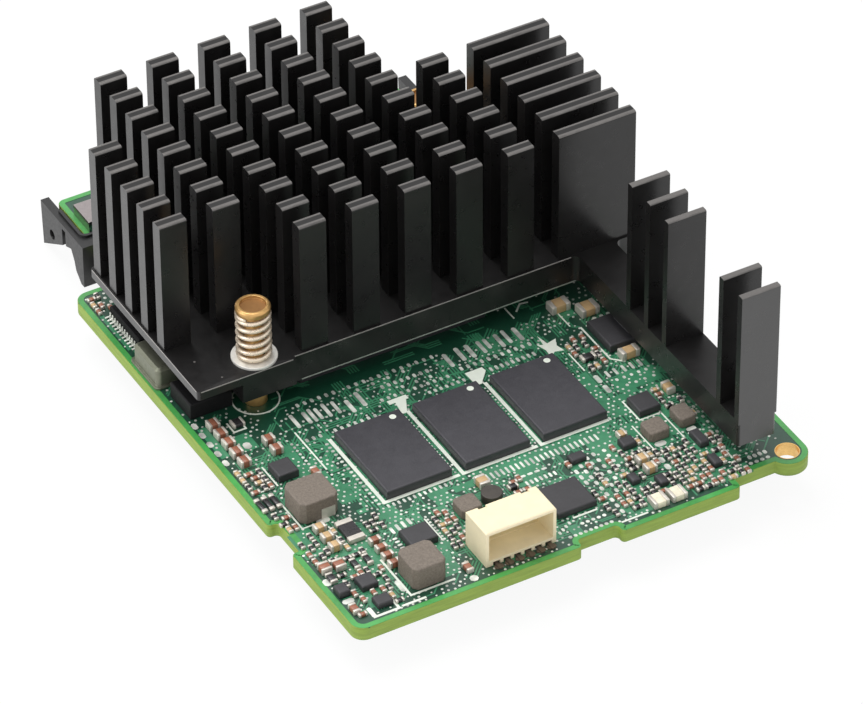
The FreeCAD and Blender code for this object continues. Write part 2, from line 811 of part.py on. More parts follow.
chip_resistors = [
    (5.9, 12.2, 1.9, 3.4, 0.6), (0.5, 20.9, 0.6, 2.3, 0.4), (1.35, 20.9, 0.6, 2.3, 0.4),
    (2.2, 20.9, 0.6, 2.3, 0.4), (1.2, 7.6, 0.8, 1.5, 0.5), (4.4, 8.3, 0.7, 1.6, 0.5),
    (5.9, 8.3, 0.7, 1.6, 0.5), (41.9, 25.7, 1.7, 1.0, 0.5), (4.4, 34.6, 1.4, 1.2, 0.5),
    (24.4, 11.3, 1.2, 0.7, 0.5),
]


def packages(places):
    return [package(*place) for place in places]


# ---------------------------------------------------------------- pieces and files
def all_pieces():
    pieces = {
        "circuit_board": [circuit_board()],
        "heat_sink": [heat_sink()],
        "controller_chip": [controller_chip()],
        "controller_thermal_pad": [controller_thermal_pad()],
        "power_module": [power_module()],
        "arm_thermal_pad": [arm_thermal_pad()],
        "header_housing": [header_housing()],
        "header_contacts": [header_contact(i) for i in range(contact_count)],
        "latch_left": [latch(False)],
        "latch_right": [latch(True)],
        "rear_connector_body": [rear_connector_body()],
        "rear_connector_shell": [rear_connector_shell()],
        "crystal_can": [crystal_can()],
        "corner_module": [corner_module()],
        "edge_chip": [edge_chip()],
        "edge_chip_leads": edge_chip_leads(),
        "inductor_round": [cylinder(round_inductor_centre, round_inductor_radius,
                                    board_top, round_inductor_height)],
        "small_packages": packages(small_packages),
        "status_leds": packages(status_leds),
        "brown_capacitors": packages(brown_capacitors),
        "tan_capacitors": packages(tan_capacitors),
        "chip_resistors": packages(chip_resistors),
    }
    screws = (front_screw, rear_screw)
    pieces["spring_screws"] = [spring_screw(centre) for centre in screws]
    pieces["screw_springs"] = [coil_spring(centre) for centre in screws]
    pieces["screw_washers"] = [screw_washer(centre) for centre in screws]
    pieces["screw_nuts"] = [screw_nut(centre) for centre in screws]
    pieces["screw_collars"] = [screw_collar(centre) for centre in screws]
    for index, name in enumerate(("left", "middle", "right")):
        pieces["memory_chip_" + name] = [memory_chip(index)]
    for name, centre_y in (("host", host_plug_y), ("drive", drive_plug_y)):
        pieces[name + "_connector_housing"] = [plug_housing(centre_y)]
        pieces[name + "_connector_contacts"] = plug_contacts(centre_y)
    for name, place in inductors.items():
        pieces[name] = [moulded_inductor(*place)]
    for name, place in chips.items():
        pieces[name] = [package(*place)]
    return pieces


def main():
    os.makedirs("parts", exist_ok=True)
    to_origin = vector(-board_width / 2, -card_back / 2, -card_bottom)
    for name, solids in all_pieces().items():
        shape = solids[0] if len(solids) == 1 else Part.Compound(solids)
        shape.translate(to_origin)
        shape.exportStep(os.path.join("parts", name + ".step"))


main()
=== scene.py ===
import math
import random

import bmesh
import bpy
from bpy.props import FloatProperty, FloatVectorProperty, PointerProperty
from mathutils import Matrix, Vector


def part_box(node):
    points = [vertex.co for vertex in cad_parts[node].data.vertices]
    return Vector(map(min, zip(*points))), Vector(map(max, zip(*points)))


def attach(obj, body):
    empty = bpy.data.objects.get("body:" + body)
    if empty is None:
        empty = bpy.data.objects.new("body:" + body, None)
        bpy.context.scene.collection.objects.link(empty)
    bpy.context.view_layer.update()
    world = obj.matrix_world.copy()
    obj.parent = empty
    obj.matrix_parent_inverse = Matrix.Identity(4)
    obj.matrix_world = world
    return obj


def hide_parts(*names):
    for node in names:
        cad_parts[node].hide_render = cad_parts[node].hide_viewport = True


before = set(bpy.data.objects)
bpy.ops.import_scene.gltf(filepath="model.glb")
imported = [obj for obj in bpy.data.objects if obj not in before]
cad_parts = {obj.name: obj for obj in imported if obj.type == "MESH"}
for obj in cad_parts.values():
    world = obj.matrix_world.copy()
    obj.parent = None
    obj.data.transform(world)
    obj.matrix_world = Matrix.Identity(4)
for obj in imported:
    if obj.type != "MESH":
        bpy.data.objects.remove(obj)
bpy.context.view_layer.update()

bl_info = {
    "name": "Storage controller card",
    "version": (1, 0, 0),
    "blender": (4, 5, 0),
    "location": "3D View > Sidebar > Controller Card",
    "description": "Dresses the packed controller card with its finishes and fine parts",
    "category": "Add Mesh",
}

BOARD_LOW, BOARD_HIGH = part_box("circuit_board")
MM = 0.001
# Board coordinates run in millimetres from the board's front left corner, up from its underside.
BOARD_TOP = (BOARD_HIGH.z - BOARD_LOW.z) / MM


def at(x, y, z=BOARD_TOP):
    """A point given in board millimetres, in metres of the row frame."""
    return BOARD_LOW + Vector((x, y, z)) * MM


def board_box(node):
    """A node's low and high corner in board millimetres."""
    low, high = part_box(node)
    return (low - BOARD_LOW) / MM, (high - BOARD_LOW) / MM


def shade(red, green, blue):
    """Linear colour of an 8-bit display colour."""
    def channel(value):
        value /= 255.0
        return value / 12.92 if value <= 0.04045 else ((value + 0.055) / 1.055) ** 2.4
    return (channel(red), channel(green), channel(blue))


# ---------------------------------------------------------------- settings
def colour(name, description, *rgb):
    return FloatVectorProperty(name=name, description=description, subtype="COLOR",
                               size=3, min=0.0, max=1.0, default=shade(*rgb))


def length(name, description, millimetres):
    return FloatProperty(name=name, description=description, default=millimetres * MM,
                         min=0.0, unit="LENGTH", subtype="DISTANCE", precision=5)


class CardColours(bpy.types.PropertyGroup):
    """Colours of the card's finishes"""
    mask: colour("Solder mask", "Green of the solder mask over bare laminate", 22, 66, 48)
    trace: colour("Traces", "Green of the solder mask over copper", 58, 128, 92)
    rim: colour("Board rim", "Bright green band along the outline", 66, 150, 72)
    laminate: colour("Laminate", "Cut edge of the glass laminate", 142, 168, 70)
    anodised: colour("Heat sink", "Black anodised aluminium", 26, 25, 25)
    # Painted highlight on the heat sink's sloped edge faces; the same colour marks the real nicks
    # on its flange.
    worn: colour("Worn edges", "Heat sink edges where the oxide is thin", 97, 94, 92)
    # Painted highlight along the rounded upper edges of the heat sink's base.
    rubbed: colour("Rubbed edges", "Outer edges of the heat sink's base", 158, 154, 151)
    # Painted highlight on a strip along the lower front edge of the heat sink's base.
    bare: colour("Bare metal", "Uncoated lower edge of the heat sink", 176, 182, 174)
    moulding: colour("Chip moulding", "Black moulded chip bodies", 52, 51, 54)
    memory: colour("Memory moulding", "Grey moulded memory bodies", 58, 57, 62)
    header: colour("Header plastic", "Cream heat-proof plastic of the header", 240, 226, 192)
    latch: colour("Latch plastic", "Black plastic of the latches", 26, 26, 27)
    connector: colour("Connector plastic", "Plastic of the board connectors", 50, 48, 46)
    ferrite: colour("Inductors", "Pressed powder of the inductors", 124, 114, 104)
    brown: colour("Brown capacitors", "Fired ceramic of the brown capacitors", 150, 96, 74)
    tan: colour("Tan capacitors", "Fired ceramic of the tan capacitors", 198, 166, 122)
    resistor: colour("Resistors", "Glazed bodies of the chip resistors", 46, 44, 46)
    led: colour("Indicators", "Cream lenses of the indicators", 236, 228, 204)
    legend: colour("Legend ink", "White ink of the board legend", 226, 232, 220)
    gold: colour("Gold plating", "Gold plating of the hole and the plug contacts", 232, 190, 122)
    tin: colour("Tinned metal", "Solder of the pads and vias", 208, 210, 202)
    # The header's contacts and their solder feet are given a dull, brownish tin.
    tarnish: colour("Dull tin", "Tarnished feet of the header contacts", 104, 92, 80)
    steel: colour("Bright steel", "Shell and nuts", 168, 160, 160)
    cap: colour("End caps", "Tinned ends of the chip parts", 204, 198, 188)
    zinc: colour("White zinc", "Bright matt plating of the flat washers", 240, 238, 232)
    brass: colour("Brass", "Yellow metal of the screws and collars", 206, 164, 104)
    coil: colour("Spring wire", "Pale plated wire of the springs", 238, 222, 200)
    # The dished floors are a darker brass than the rest of the screw heads.
    dish: colour("Screw recess", "Stained floor of the screws' dished heads", 150, 108, 62)
    can: colour("Crystal can", "Satin nickel of the crystal can", 124, 126, 110)
    pad: colour("Thermal pad", "Grey putty of the thermal pads", 88, 88, 90)
    floor: colour("Floor", "Pale floor under the card", 245, 245, 244)


class CardSizes(bpy.types.PropertyGroup):
    """Sizes of the fine parts that the solids leave plain"""
    sink_edge: length("Heat sink edge", "Rounding of the heat sink's edges", 0.15)
    chip_edge: length("Chip edge", "Rounding of moulded chip bodies", 0.06)
    plastic_edge: length("Plastic edge", "Rounding of moulded plastic edges", 0.07)
    metal_edge: length("Metal edge", "Rounding of turned and folded metal", 0.05)
    via_diameter: length("Via diameter", "Tinned dot of a via", 0.31)
    trace_width: length("Trace width", "Width of a fine trace", 0.16)
    rim_width: length("Rim width", "Width of the bright band on the outline", 0.62)
    spring_wire: length("Spring wire", "Thickness of the spring wire", 0.54)
    key_light: FloatProperty(name="Key light", description="Power of the overhead light",
                             default=1.6, min=0.0, unit="POWER")
    side_light: FloatProperty(name="Side light", description="Power of the light at the left",
                              default=0.5, min=0.0, unit="POWER")
    sky_light: FloatProperty(name="Surrounding light",
                             description="Strength of the even light from all around",
                             default=0.75, min=0.0)
    lens: FloatProperty(name="Lens", description="Focal length of the camera, in millimetres",
                        default=264.306, min=1.0)


def colours():
    return bpy.context.scene.card_colours


def sizes():
    return bpy.context.scene.card_sizes


# ---------------------------------------------------------------- finishes
class Finish:
    """A node material built step by step around one Principled shader."""

    def __init__(self, name):
        self.material = bpy.data.materials.new(name)
        self.material.use_nodes = True
        self.tree = self.material.node_tree
        self.shader = self.tree.nodes["Principled BSDF"]
        self.position = self.add("ShaderNodeTexCoord").outputs["Object"]

    def add(self, kind, **settings):
        node = self.tree.nodes.new(kind)
        for key, value in settings.items():
            setattr(node, key, value)
        return node

    def link(self, source, target):
        self.tree.links.new(source, target)

    def set(self, **values):
        names = {"roughness": "Roughness", "metallic": "Metallic", "ior": "IOR",
                 "coat": "Coat Weight", "coat_roughness": "Coat Roughness",
                 "specular": "Specular IOR Level"}
        for key, value in values.items():
            self.shader.inputs[names[key]].default_value = value
        return self

    def noise(self, scale, detail=3.0, rough=0.55, stretch=None):
        texture = self.add("ShaderNodeTexNoise")
        texture.inputs["Scale"].default_value = scale
        texture.inputs["Detail"].default_value = detail
        texture.inputs["Roughness"].default_value = rough
        source = self.position
        if stretch:
            mapping = self.add("ShaderNodeMapping")
            mapping.inputs["Scale"].default_value = stretch
            self.link(source, mapping.inputs["Vector"])
            source = mapping.outputs["Vector"]
        self.link(source, texture.inputs["Vector"])
        return texture.outputs["Fac"]

    def spread(self, value, low, high, to_low=0.0, to_high=1.0):
        node = self.add("ShaderNodeMapRange")
        for key, number in (("From Min", low), ("From Max", high),
                            ("To Min", to_low), ("To Max", to_high)):
            node.inputs[key].default_value = number
        self.link(value, node.inputs["Value"])
        return node.outputs["Result"]

    def mix(self, factor, first, second):
        node = self.add("ShaderNodeMix", data_type="RGBA")
        self.link(factor, node.inputs["Factor"])
        for socket, source in ((node.inputs[6], first), (node.inputs[7], second)):
            if isinstance(source, bpy.types.NodeSocket):
                self.link(source, socket)
            else:
                socket.default_value = (*source, 1.0)
        return node.outputs[2]

    def paint(self, source):
        self.link(source, self.shader.inputs["Base Color"])
        return self

    def mottled(self, base, spread, scale, detail=3.0):
        """Base colour that drifts a little lighter and darker."""
        factor = self.spread(self.noise(scale, detail), 0.3, 0.7)
        dark = tuple(c * (1.0 - spread) for c in base)
        light = tuple(min(1.0, c * (1.0 + spread)) for c in base)
        return self.mix(factor, dark, light)

    def rough_drift(self, low, high, scale):
        self.link(self.spread(self.noise(scale), 0.3, 0.7, low, high),
                  self.shader.inputs["Roughness"])
        return self

    def bump(self, height, distance):
        node = self.add("ShaderNodeBump")
        node.inputs["Distance"].default_value = distance
        self.link(height, node.inputs["Height"])
        self.link(node.outputs["Normal"], self.shader.inputs["Normal"])
        return self


def moulded(name, base, rough, grain, depth, spread, specular=0.5, share=1.0):
    """Matt moulding compound: fine grain, slight colour drift, at a share of its colour."""
    f = Finish(name).set(specular=specular)
    f.paint(f.mottled(tuple(c * share for c in base), spread, 700.0))
    f.rough_drift(rough - 0.06, rough + 0.06, 2500.0)
    return f.bump(f.noise(grain, 4.0), depth)


def metal(name, base, rough, spread, scale):
    """Plated or bare metal with faint working marks."""
    f = Finish(name).set(metallic=1.0)
    f.paint(f.mottled(base, spread, scale))
    f.rough_drift(max(0.05, rough - 0.07), rough + 0.07, scale * 1.7)
    return f.bump(f.noise(scale * 4.0, 3.0, 0.5), 0.000004)


def satin(name, base, metallic, rough):
    """Plated metal dull enough to take some of its own colour in any light."""
    f = Finish(name).set(metallic=metallic, specular=0.6)
    f.paint(f.mottled(base, 0.08, 1600.0))
    f.rough_drift(rough - 0.08, rough + 0.08, 2400.0)
    return f.bump(f.noise(5000.0, 3.0), 0.000004)


def solder(name, base):
    """Silvery, and brighter or duller from one spot to the next."""
    f = Finish(name).set(metallic=0.3, specular=0.6)
    f.paint(f.mottled(base, 0.38, 820.0, 1.0))
    f.rough_drift(0.34, 0.5, 2400.0)
    return f.bump(f.noise(5000.0, 3.0), 0.000004)


def anodised(name, base, ior):
    """Black anodised aluminium: dyed oxide over fine machining marks, dust caught in the grain."""
    f = Finish(name).set(ior=ior)
    tone = f.mottled(base, 0.16, 300.0)
    dust = f.spread(f.noise(3800.0, 3.0, 0.6), 0.60, 0.84, 0.0, 0.08)
    f.paint(f.mix(dust, tone, tuple(min(1.0, c * 2.5 + 0.006) for c in base)))
    f.rough_drift(0.26, 0.34, 900.0)
    return f.bump(f.noise(1400.0, 1.0, 0.5, (1.0, 1.0, 0.08)), 0.0000008)


# Rows of heat sink pins in board millimetres: front of the first row, pitch, depth of a pin.
PIN_ROW_FRONT = 36.16
PIN_ROW_PITCH = 3.64
PIN_DEPTH = 1.53
# Distance from the middle of a pin's top at which the painted highlight strip starts and is full.
HIGHLIGHT_START, HIGHLIGHT_FULL = 0.30, 0.38
# Heights in metres between which the painted highlight strips fade in, so that only pin tops have
# them.
PIN_TOP_START, PIN_TOP_FULL = 0.026, 0.0265


def cut_top(name, base):
    """Upward faces of the heat sink: dull, with a painted highlight along the long edges of the
    pins.
    """
    f = Finish(name).set(ior=1.5, specular=0.28)
    axes = f.add("ShaderNodeSeparateXYZ")
    f.link(f.position, axes.inputs[0])
    place = axes.outputs["Y"]
    for operation, number in (("SUBTRACT", BOARD_LOW.y + PIN_ROW_FRONT * MM),
                              ("WRAP", PIN_ROW_PITCH * MM), ("SUBTRACT", PIN_DEPTH / 2 * MM),
                              ("ABSOLUTE", 0.0)):
        step = f.add("ShaderNodeMath", operation=operation)
        step.inputs[1].default_value = number
        step.inputs[2].default_value = 0.0
        f.link(place, step.inputs[0])
        place = step.outputs[0]
    near_edge = f.spread(place, HIGHLIGHT_START * MM, HIGHLIGHT_FULL * MM)
    near_top = f.spread(axes.outputs["Z"], PIN_TOP_START, PIN_TOP_FULL)
    both = f.add("ShaderNodeMath", operation="MULTIPLY")
    f.link(near_edge, both.inputs[0])
    f.link(near_top, both.inputs[1])
    # The strips near the pins' long top edges are painted highlight.
    f.paint(f.mix(both.outputs[0], f.mottled(base, 0.2, 380.0), tuple(colours().worn)))
    f.rough_drift(0.34, 0.46, 900.0)
    return f.bump(f.noise(1400.0, 1.0, 0.5), 0.0000008)


def edge_highlight_and_wear_finish(name, base):
    """Lighter colour painted on the heat sink's sloped edge faces as a highlight, and on the
    flange's nicks, where the metal shows through.
    """
    f = Finish(name).set(ior=1.5)
    f.paint(f.mottled(base, 0.35, 420.0, 4.0))
    f.rough_drift(0.28, 0.42, 900.0)
    return f.bump(f.noise(2600.0, 3.0), 0.000003)


def solder_mask(name, base, weave):
    """Glossy green lacquer over glass weave."""
    f = Finish(name).set(coat=0.35, coat_roughness=0.12)
    cloth = f.add("ShaderNodeTexChecker")
    cloth.inputs["Scale"].default_value = 1900.0
    f.link(f.position, cloth.inputs["Vector"])
    tone = f.mottled(base, weave, 260.0)
    f.paint(f.mix(f.spread(cloth.outputs["Fac"], 0.0, 1.0, 0.0, 0.12), tone,
                  tuple(min(1.0, c * 1.5) for c in base)))
    f.rough_drift(0.28, 0.42, 1200.0)
    return f.bump(f.noise(1500.0, 3.0), 0.000010)


def glass_laminate(name, base):
    """Sawn edge of glass laminate: fibres in thin layers."""
    f = Finish(name).set(roughness=0.6)
    layers = f.spread(f.noise(1200.0, 3.0, 0.6, (0.25, 0.25, 3.0)), 0.35, 0.65)
    f.paint(f.mix(layers, tuple(c * 0.8 for c in base), base))
    return f.bump(f.noise(5000.0, 4.0), 0.00002)


def ceramic(name, base, rough):
    """Fired ceramic or glaze of a chip part."""
    f = Finish(name)
    f.paint(f.mottled(base, 0.16, 900.0, 4.0))
    f.rough_drift(rough - 0.08, rough + 0.08, 2600.0)
    return f.bump(f.noise(7000.0, 4.0), 0.000010)


def pressed_powder(name, base):
    """Grey-brown pressed powder with coarse speckle."""
    f = Finish(name).set(specular=0.35)
    speck = f.spread(f.noise(4200.0, 5.0, 0.75), 0.38, 0.66)
    f.paint(f.mix(speck, tuple(c * 0.72 for c in base), tuple(c * 1.12 for c in base)))
    f.rough_drift(0.5, 0.66, 2200.0)
    return f.bump(f.noise(6000.0, 5.0, 0.7), 0.00003)


# Every finish: how it is made, its colour, then the numbers that its maker takes.
RECIPES = {
    "solder_mask_green": (solder_mask, "mask", 0.10),
    "solder_mask_rim": (solder_mask, "rim", 0.2),
    "masked_copper": (solder_mask, "trace", 0.18),
    "laminate_edge": (glass_laminate, "laminate"),
    "black_anodised": (anodised, "anodised", 1.5),
    # A copy of the anodised finish that reflects more, for the outermost left faces and the front
    # faces: painted sheen.
    "burnished_faces": (anodised, "anodised", 1.85),
    "cut_tops": (cut_top, "anodised"),
    "worn_edges": (edge_highlight_and_wear_finish, "worn"),
    "rubbed_edges": (satin, "rubbed", 0.2, 0.4),
    "bare_edge": (satin, "bare", 0.4, 0.45),
    "tinned_metal": (solder, "tin"),
    "tinned_ends": (satin, "cap", 0.35, 0.45),
    "tarnished_tin": (satin, "tarnish", 0.5, 0.5),
    "satin_nickel": (satin, "can", 0.6, 0.42),
    "turned_brass": (satin, "brass", 0.75, 0.34),
    "stained_brass": (satin, "dish", 0.55, 0.45),
    "white_zinc": (satin, "zinc", 0.45, 0.5),
    "pale_coil": (satin, "coil", 0.6, 0.3),
    "bright_steel": (metal, "steel", 0.18, 0.05, 1800.0),
    "gold_plating": (metal, "gold", 0.22, 0.10, 1800.0),
    "legend_ink": (moulded, "legend", 0.6, 4000.0, 0.000006, 0.06),
    "chip_moulding": (moulded, "moulding", 0.5, 9000.0, 0.000012, 0.10),
    "dark_moulding": (moulded, "moulding", 0.6, 9000.0, 0.000012, 0.10, 0.2, 0.25),
    "memory_moulding": (moulded, "memory", 0.42, 7000.0, 0.000014, 0.08),
    "header_plastic": (moulded, "header", 0.5, 5000.0, 0.000008, 0.04),
    "latch_plastic": (moulded, "latch", 0.36, 4000.0, 0.000010, 0.2),
    "connector_plastic": (moulded, "connector", 0.5, 5000.0, 0.000008, 0.1),
    "thermal_putty": (moulded, "pad", 0.8, 3000.0, 0.00003, 0.08),
    "pressed_powder": (pressed_powder, "ferrite"),
    "dark_powder": (moulded, "ferrite", 0.5, 6000.0, 0.00002, 0.2, 0.5, 0.22),
    "brown_ceramic": (ceramic, "brown", 0.4),
    "tan_ceramic": (ceramic, "tan", 0.4),
    "resistor_glaze": (ceramic, "resistor", 0.3),
    "indicator_lens": (ceramic, "led", 0.3),
}
FINISHES = {}


def finish(name):
    """The material of that name, made from its recipe on first use."""
    if name not in FINISHES:
        maker, tint, *numbers = RECIPES[name]
        FINISHES[name] = maker(name, tuple(getattr(colours(), tint)), *numbers).material
    return FINISHES[name]


# ---------------------------------------------------------------- mesh helpers
def new_piece(name, bm, finishes, replaces=()):
    """Makes an object of a bmesh, in place, riding on the card."""
    mesh = bpy.data.meshes.new(name)
    bm.to_mesh(mesh)
    bm.free()
    for name_of_finish in finishes:
        mesh.materials.append(finish(name_of_finish))
    piece = bpy.data.objects.new(name, mesh)
    bpy.context.scene.collection.objects.link(piece)
    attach(piece, "root")
    if replaces:
        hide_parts(*replaces)
    return piece


# Degrees: faces that differ by less than the first are joined, and edges that turn by more
# than the second are rounded.
FLAT_ANGLE, ROUNDED_ANGLE = 0.6, 28.0


def node_solids(node):
    """The CAD node's solids as one welded bmesh with its flat faces joined up."""
    bm = bmesh.new()
    bm.from_mesh(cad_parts[node].data)
    bmesh.ops.remove_doubles(bm, verts=bm.verts, dist=2e-7)
    bmesh.ops.dissolve_limit(bm, angle_limit=math.radians(FLAT_ANGLE), verts=bm.verts,
                             edges=bm.edges, delimit=set())
    return bm


def rounded(piece, width, segments=2):
    """Rounds the sharp edges and keeps the flat faces flat."""
    bevel = piece.modifiers.new("rounded_edges", "BEVEL")
    bevel.width = width
    bevel.segments = segments
    bevel.limit_method = "ANGLE"
    bevel.angle_limit = math.radians(ROUNDED_ANGLE)
    bevel.use_clamp_overlap = True
    bevel.miter_outer = "MITER_SHARP"
    for polygon in piece.data.polygons:
        polygon.use_smooth = True
    normals = piece.modifiers.new("flat_normals", "WEIGHTED_NORMAL")
    normals.keep_sharp = False
    normals.weight = 80


def softened(node, name, finish_name, width, segments=2):
    """Makes a copy of the CAD node's solids with rounded edges, which stands for it."""
    rounded(new_piece(name, node_solids(node), [finish_name], [node]), width, segments)


def islands(bm):
    """Lists of the vertices of each separate solid."""
    left = set(bm.verts)
    groups = []
    while left:
        stack = [left.pop()]
        group = list(stack)
        while stack:
            for edge in stack.pop().link_edges:
                for vertex in edge.verts:
                    if vertex in left:
                        left.remove(vertex)
                        group.append(vertex)
                        stack.append(vertex)
        groups.append(group)
    return groups


def solid_boxes(node):
    """Low and high corner of each solid of a node, in board millimetres, in a fixed order."""
    bm = node_solids(node)
    found = []
    for group in islands(bm):
        low = Vector([min(v.co[i] for v in group) for i in range(3)])
        high = Vector([max(v.co[i] for v in group) for i in range(3)])
        found.append(((low - BOARD_LOW) / MM, (high - BOARD_LOW) / MM))
    bm.free()
    return sorted(found, key=lambda pair: (round(pair[0].x, 2), round(pair[0].y, 2)))


def add_box(bm, low, high, material=0):
    """Adds an upright box between two corners in board millimetres."""
    corners = [at(x, y, z) for z in (low[2], high[2])
               for x, y in ((low[0], low[1]), (high[0], low[1]),
                            (high[0], high[1]), (low[0], high[1]))]
    verts = [bm.verts.new(c) for c in corners]
    for loop in ((3, 2, 1, 0), (4, 5, 6, 7), (0, 1, 5, 4), (1, 2, 6, 5), (2, 3, 7, 6),
                 (3, 0, 4, 7)):
        face = bm.faces.new([verts[i] for i in loop])
        face.material_index = material


def add_prism(bm, outline, bottom, top, cap=True):
    """Adds an upright prism on an outline of board (x, y) points, counter-clockwise."""
    lower = [bm.verts.new(at(x, y, bottom)) for x, y in outline]
    upper = [bm.verts.new(at(x, y, top)) for x, y in outline]
    count = len(outline)
    for i in range(count):
        j = (i + 1) % count
        bm.faces.new((lower[i], lower[j], upper[j], upper[i]))
    bm.faces.new(upper)
    if cap:
        bm.faces.new(lower[::-1])


def circle(x, y, radius, count, turn=0.0):
    """Points of a regular polygon round (x, y), counter-clockwise."""
    return [(x + radius * math.cos(turn + 2 * math.pi * i / count),
             y + radius * math.sin(turn + 2 * math.pi * i / count)) for i in range(count)]


def add_lathe(bm, centre, profile):
    """Turns a profile of (radius, z) points round an upright axis."""
    count = 48
    rings = [[bm.verts.new(at(px, py, z))
              for px, py in circle(centre[0], centre[1], radius, count)]
             for radius, z in profile]
    for low, high in zip(rings, rings[1:]):
        for i in range(count):
            j = (i + 1) % count
            bm.faces.new((low[i], low[j], high[j], high[i]))


def add_stroke(bm, points, width, bottom, top):
    """Adds a flat strip of even width along a polyline of board (x, y) points."""
    count = len(points)
    left, right = [], []
    for i, (x, y) in enumerate(points):
        directions = []
        if i > 0:
            directions.append((Vector(points[i]) - Vector(points[i - 1])).normalized())
        if i < count - 1:
            directions.append((Vector(points[i + 1]) - Vector(points[i])).normalized())
        middle = sum(directions, Vector((0.0, 0.0))).normalized()
        side = Vector((-middle.y, middle.x))
        stretch = 1.0
        if len(directions) == 2:
            stretch = 1.0 / max(0.5, side.dot(Vector((-directions[0].y, directions[0].x))))
        reach = side * (width / 2 * stretch)
        left.append((x + reach.x, y + reach.y))
        right.append((x - reach.x, y - reach.y))
    for i in range(count - 1):
        add_prism(bm, [right[i], right[i + 1], left[i + 1], left[i]], bottom, top, cap=False)


def inset_outline(points, distance):
    """Moves each corner of a counter-clockwise outline inwards along its own bisector."""
    moved = []
    count = len(points)
    for i in range(count):
        here = Vector(points[i])
        before = (here - Vector(points[i - 1])).normalized()
        after = (Vector(points[(i + 1) % count]) - here).normalized()
        normal_a = Vector((-before.y, before.x))
        normal_b = Vector((-after.y, after.x))
        bisector = (normal_a + normal_b).normalized()
        reach = distance / max(0.4, bisector.dot(normal_a))
        moved.append(tuple(here + bisector * reach))
    return moved


# ---------------------------------------------------------------- board outline
# Nodes that stand on the board's upper face.
TOP_NODES = ("controller_chip", "power_module", "header_housing",
             "header_contacts", "latch_left", "latch_right", "rear_connector_shell",
             "crystal_can", "corner_module", "edge_chip", "edge_chip_leads", "inductor_round",
             "inductor_large", "inductor_tall", "inductor_small_left",
             "inductor_small_middle", "inductor_small_right", "regulator_chip",
             "driver_chip", "bridge_chip", "logic_chip", "small_packages", "status_leds",
             "brown_capacitors", "tan_capacitors", "chip_resistors", "screw_collars",
             "memory_chip_left", "memory_chip_middle", "memory_chip_right")


def board_loops(height):
    """Closed outlines of the board's flat face at that height, longest first."""
    bm = node_solids("circuit_board")
    level = BOARD_LOW.z + height * MM
    flat = [f for f in bm.faces if all(abs(v.co.z - level) < 1e-6 for v in f.verts)]
    known = set(flat)
    nexts = {}
    for face in flat:
        for loop in face.loops:
            if any(f not in known for f in loop.edge.link_faces):
                nexts[loop.vert] = loop.link_loop_next.vert
    loops = []
    while nexts:
        start = next(iter(nexts))
        chain = [start]
        here = nexts.pop(start)
        while here is not start:
            chain.append(here)
            here = nexts.pop(here)
        loops.append([tuple(((v.co - BOARD_LOW) / MM).xy) for v in chain])
    bm.free()
    return sorted(loops, key=len, reverse=True)


def outer_outline():
    """The board's outer outline, counter-clockwise, in board millimetres."""
    best, best_width = None, 0.0
    for loop in board_loops(BOARD_TOP):
        width = max(p[0] for p in loop) - min(p[0] for p in loop)
        if width > best_width:
            best, best_width = loop, width
    area = sum(a[0] * b[1] - b[0] * a[1] for a, b in zip(best, best[1:] + best[:1]))
    return best if area > 0 else best[::-1]


def round_holes():
    """Centre and radius of each round hole through the board."""
    holes = []
    for loop in board_loops(BOARD_TOP):
        middle = (sum(p[0] for p in loop) / len(loop), sum(p[1] for p in loop) / len(loop))
        radius = (Vector(loop[0]) - Vector(middle)).length
        if max(abs((Vector(p) - Vector(middle)).length - radius) for p in loop) < 0.02:
            holes.append((middle, radius))
    return holes


def add_band(bm, outline, width, bottom, top):
    """Adds a raised band of even width inside a closed outline."""
    inner = inset_outline(outline, width)
    count = len(outline)
    rings = [[bm.verts.new(at(x, y, z)) for x, y in ring]
             for ring, z in ((outline, bottom), (outline, top), (inner, top), (inner, bottom))]
    for i in range(count):
        j = (i + 1) % count
        for a, b in zip(rings, rings[1:]):
            bm.faces.new((a[i], a[j], b[j], b[i]))


# How far what is printed or plated on a face reaches into the board, so that nothing floats.
SUNK = 0.01
# Rim band: its gap from the board's outline, and its height over the face.
RIM_INSET, RIM_HEIGHT = 0.06, 0.03
# Rounding of the laminate, of the smallest chip parts and of the larger ones.
BOARD_EDGE, FINE_EDGE, PART_EDGE = 0.05 * MM, 0.04 * MM, 0.07 * MM


class CARD_OT_circuit_board(bpy.types.Operator):
    """Builds the laminate and its bright rim band"""
    bl_idname = "card.circuit_board"
    bl_label = "Circuit board"

    def execute(self, context):
        bm = node_solids("circuit_board")
        bm.normal_update()
        for face in bm.faces:
            face.material_index = 0 if abs(face.normal.z) > 0.5 else 1
        board = new_piece("circuit_board_laminate", bm, ["solder_mask_green", "laminate_edge"],
                          ["circuit_board"])
        rounded(board, BOARD_EDGE, 1)
        outline = inset_outline(outer_outline(), RIM_INSET)
        width = sizes().rim_width / MM
        bm = bmesh.new()
        add_band(bm, outline, width, BOARD_TOP - SUNK, BOARD_TOP + RIM_HEIGHT)
        add_band(bm, outline, width, SUNK, -RIM_HEIGHT)
        new_piece("board_rim_band", bm, ["solder_mask_rim"])
        return {"FINISHED"}


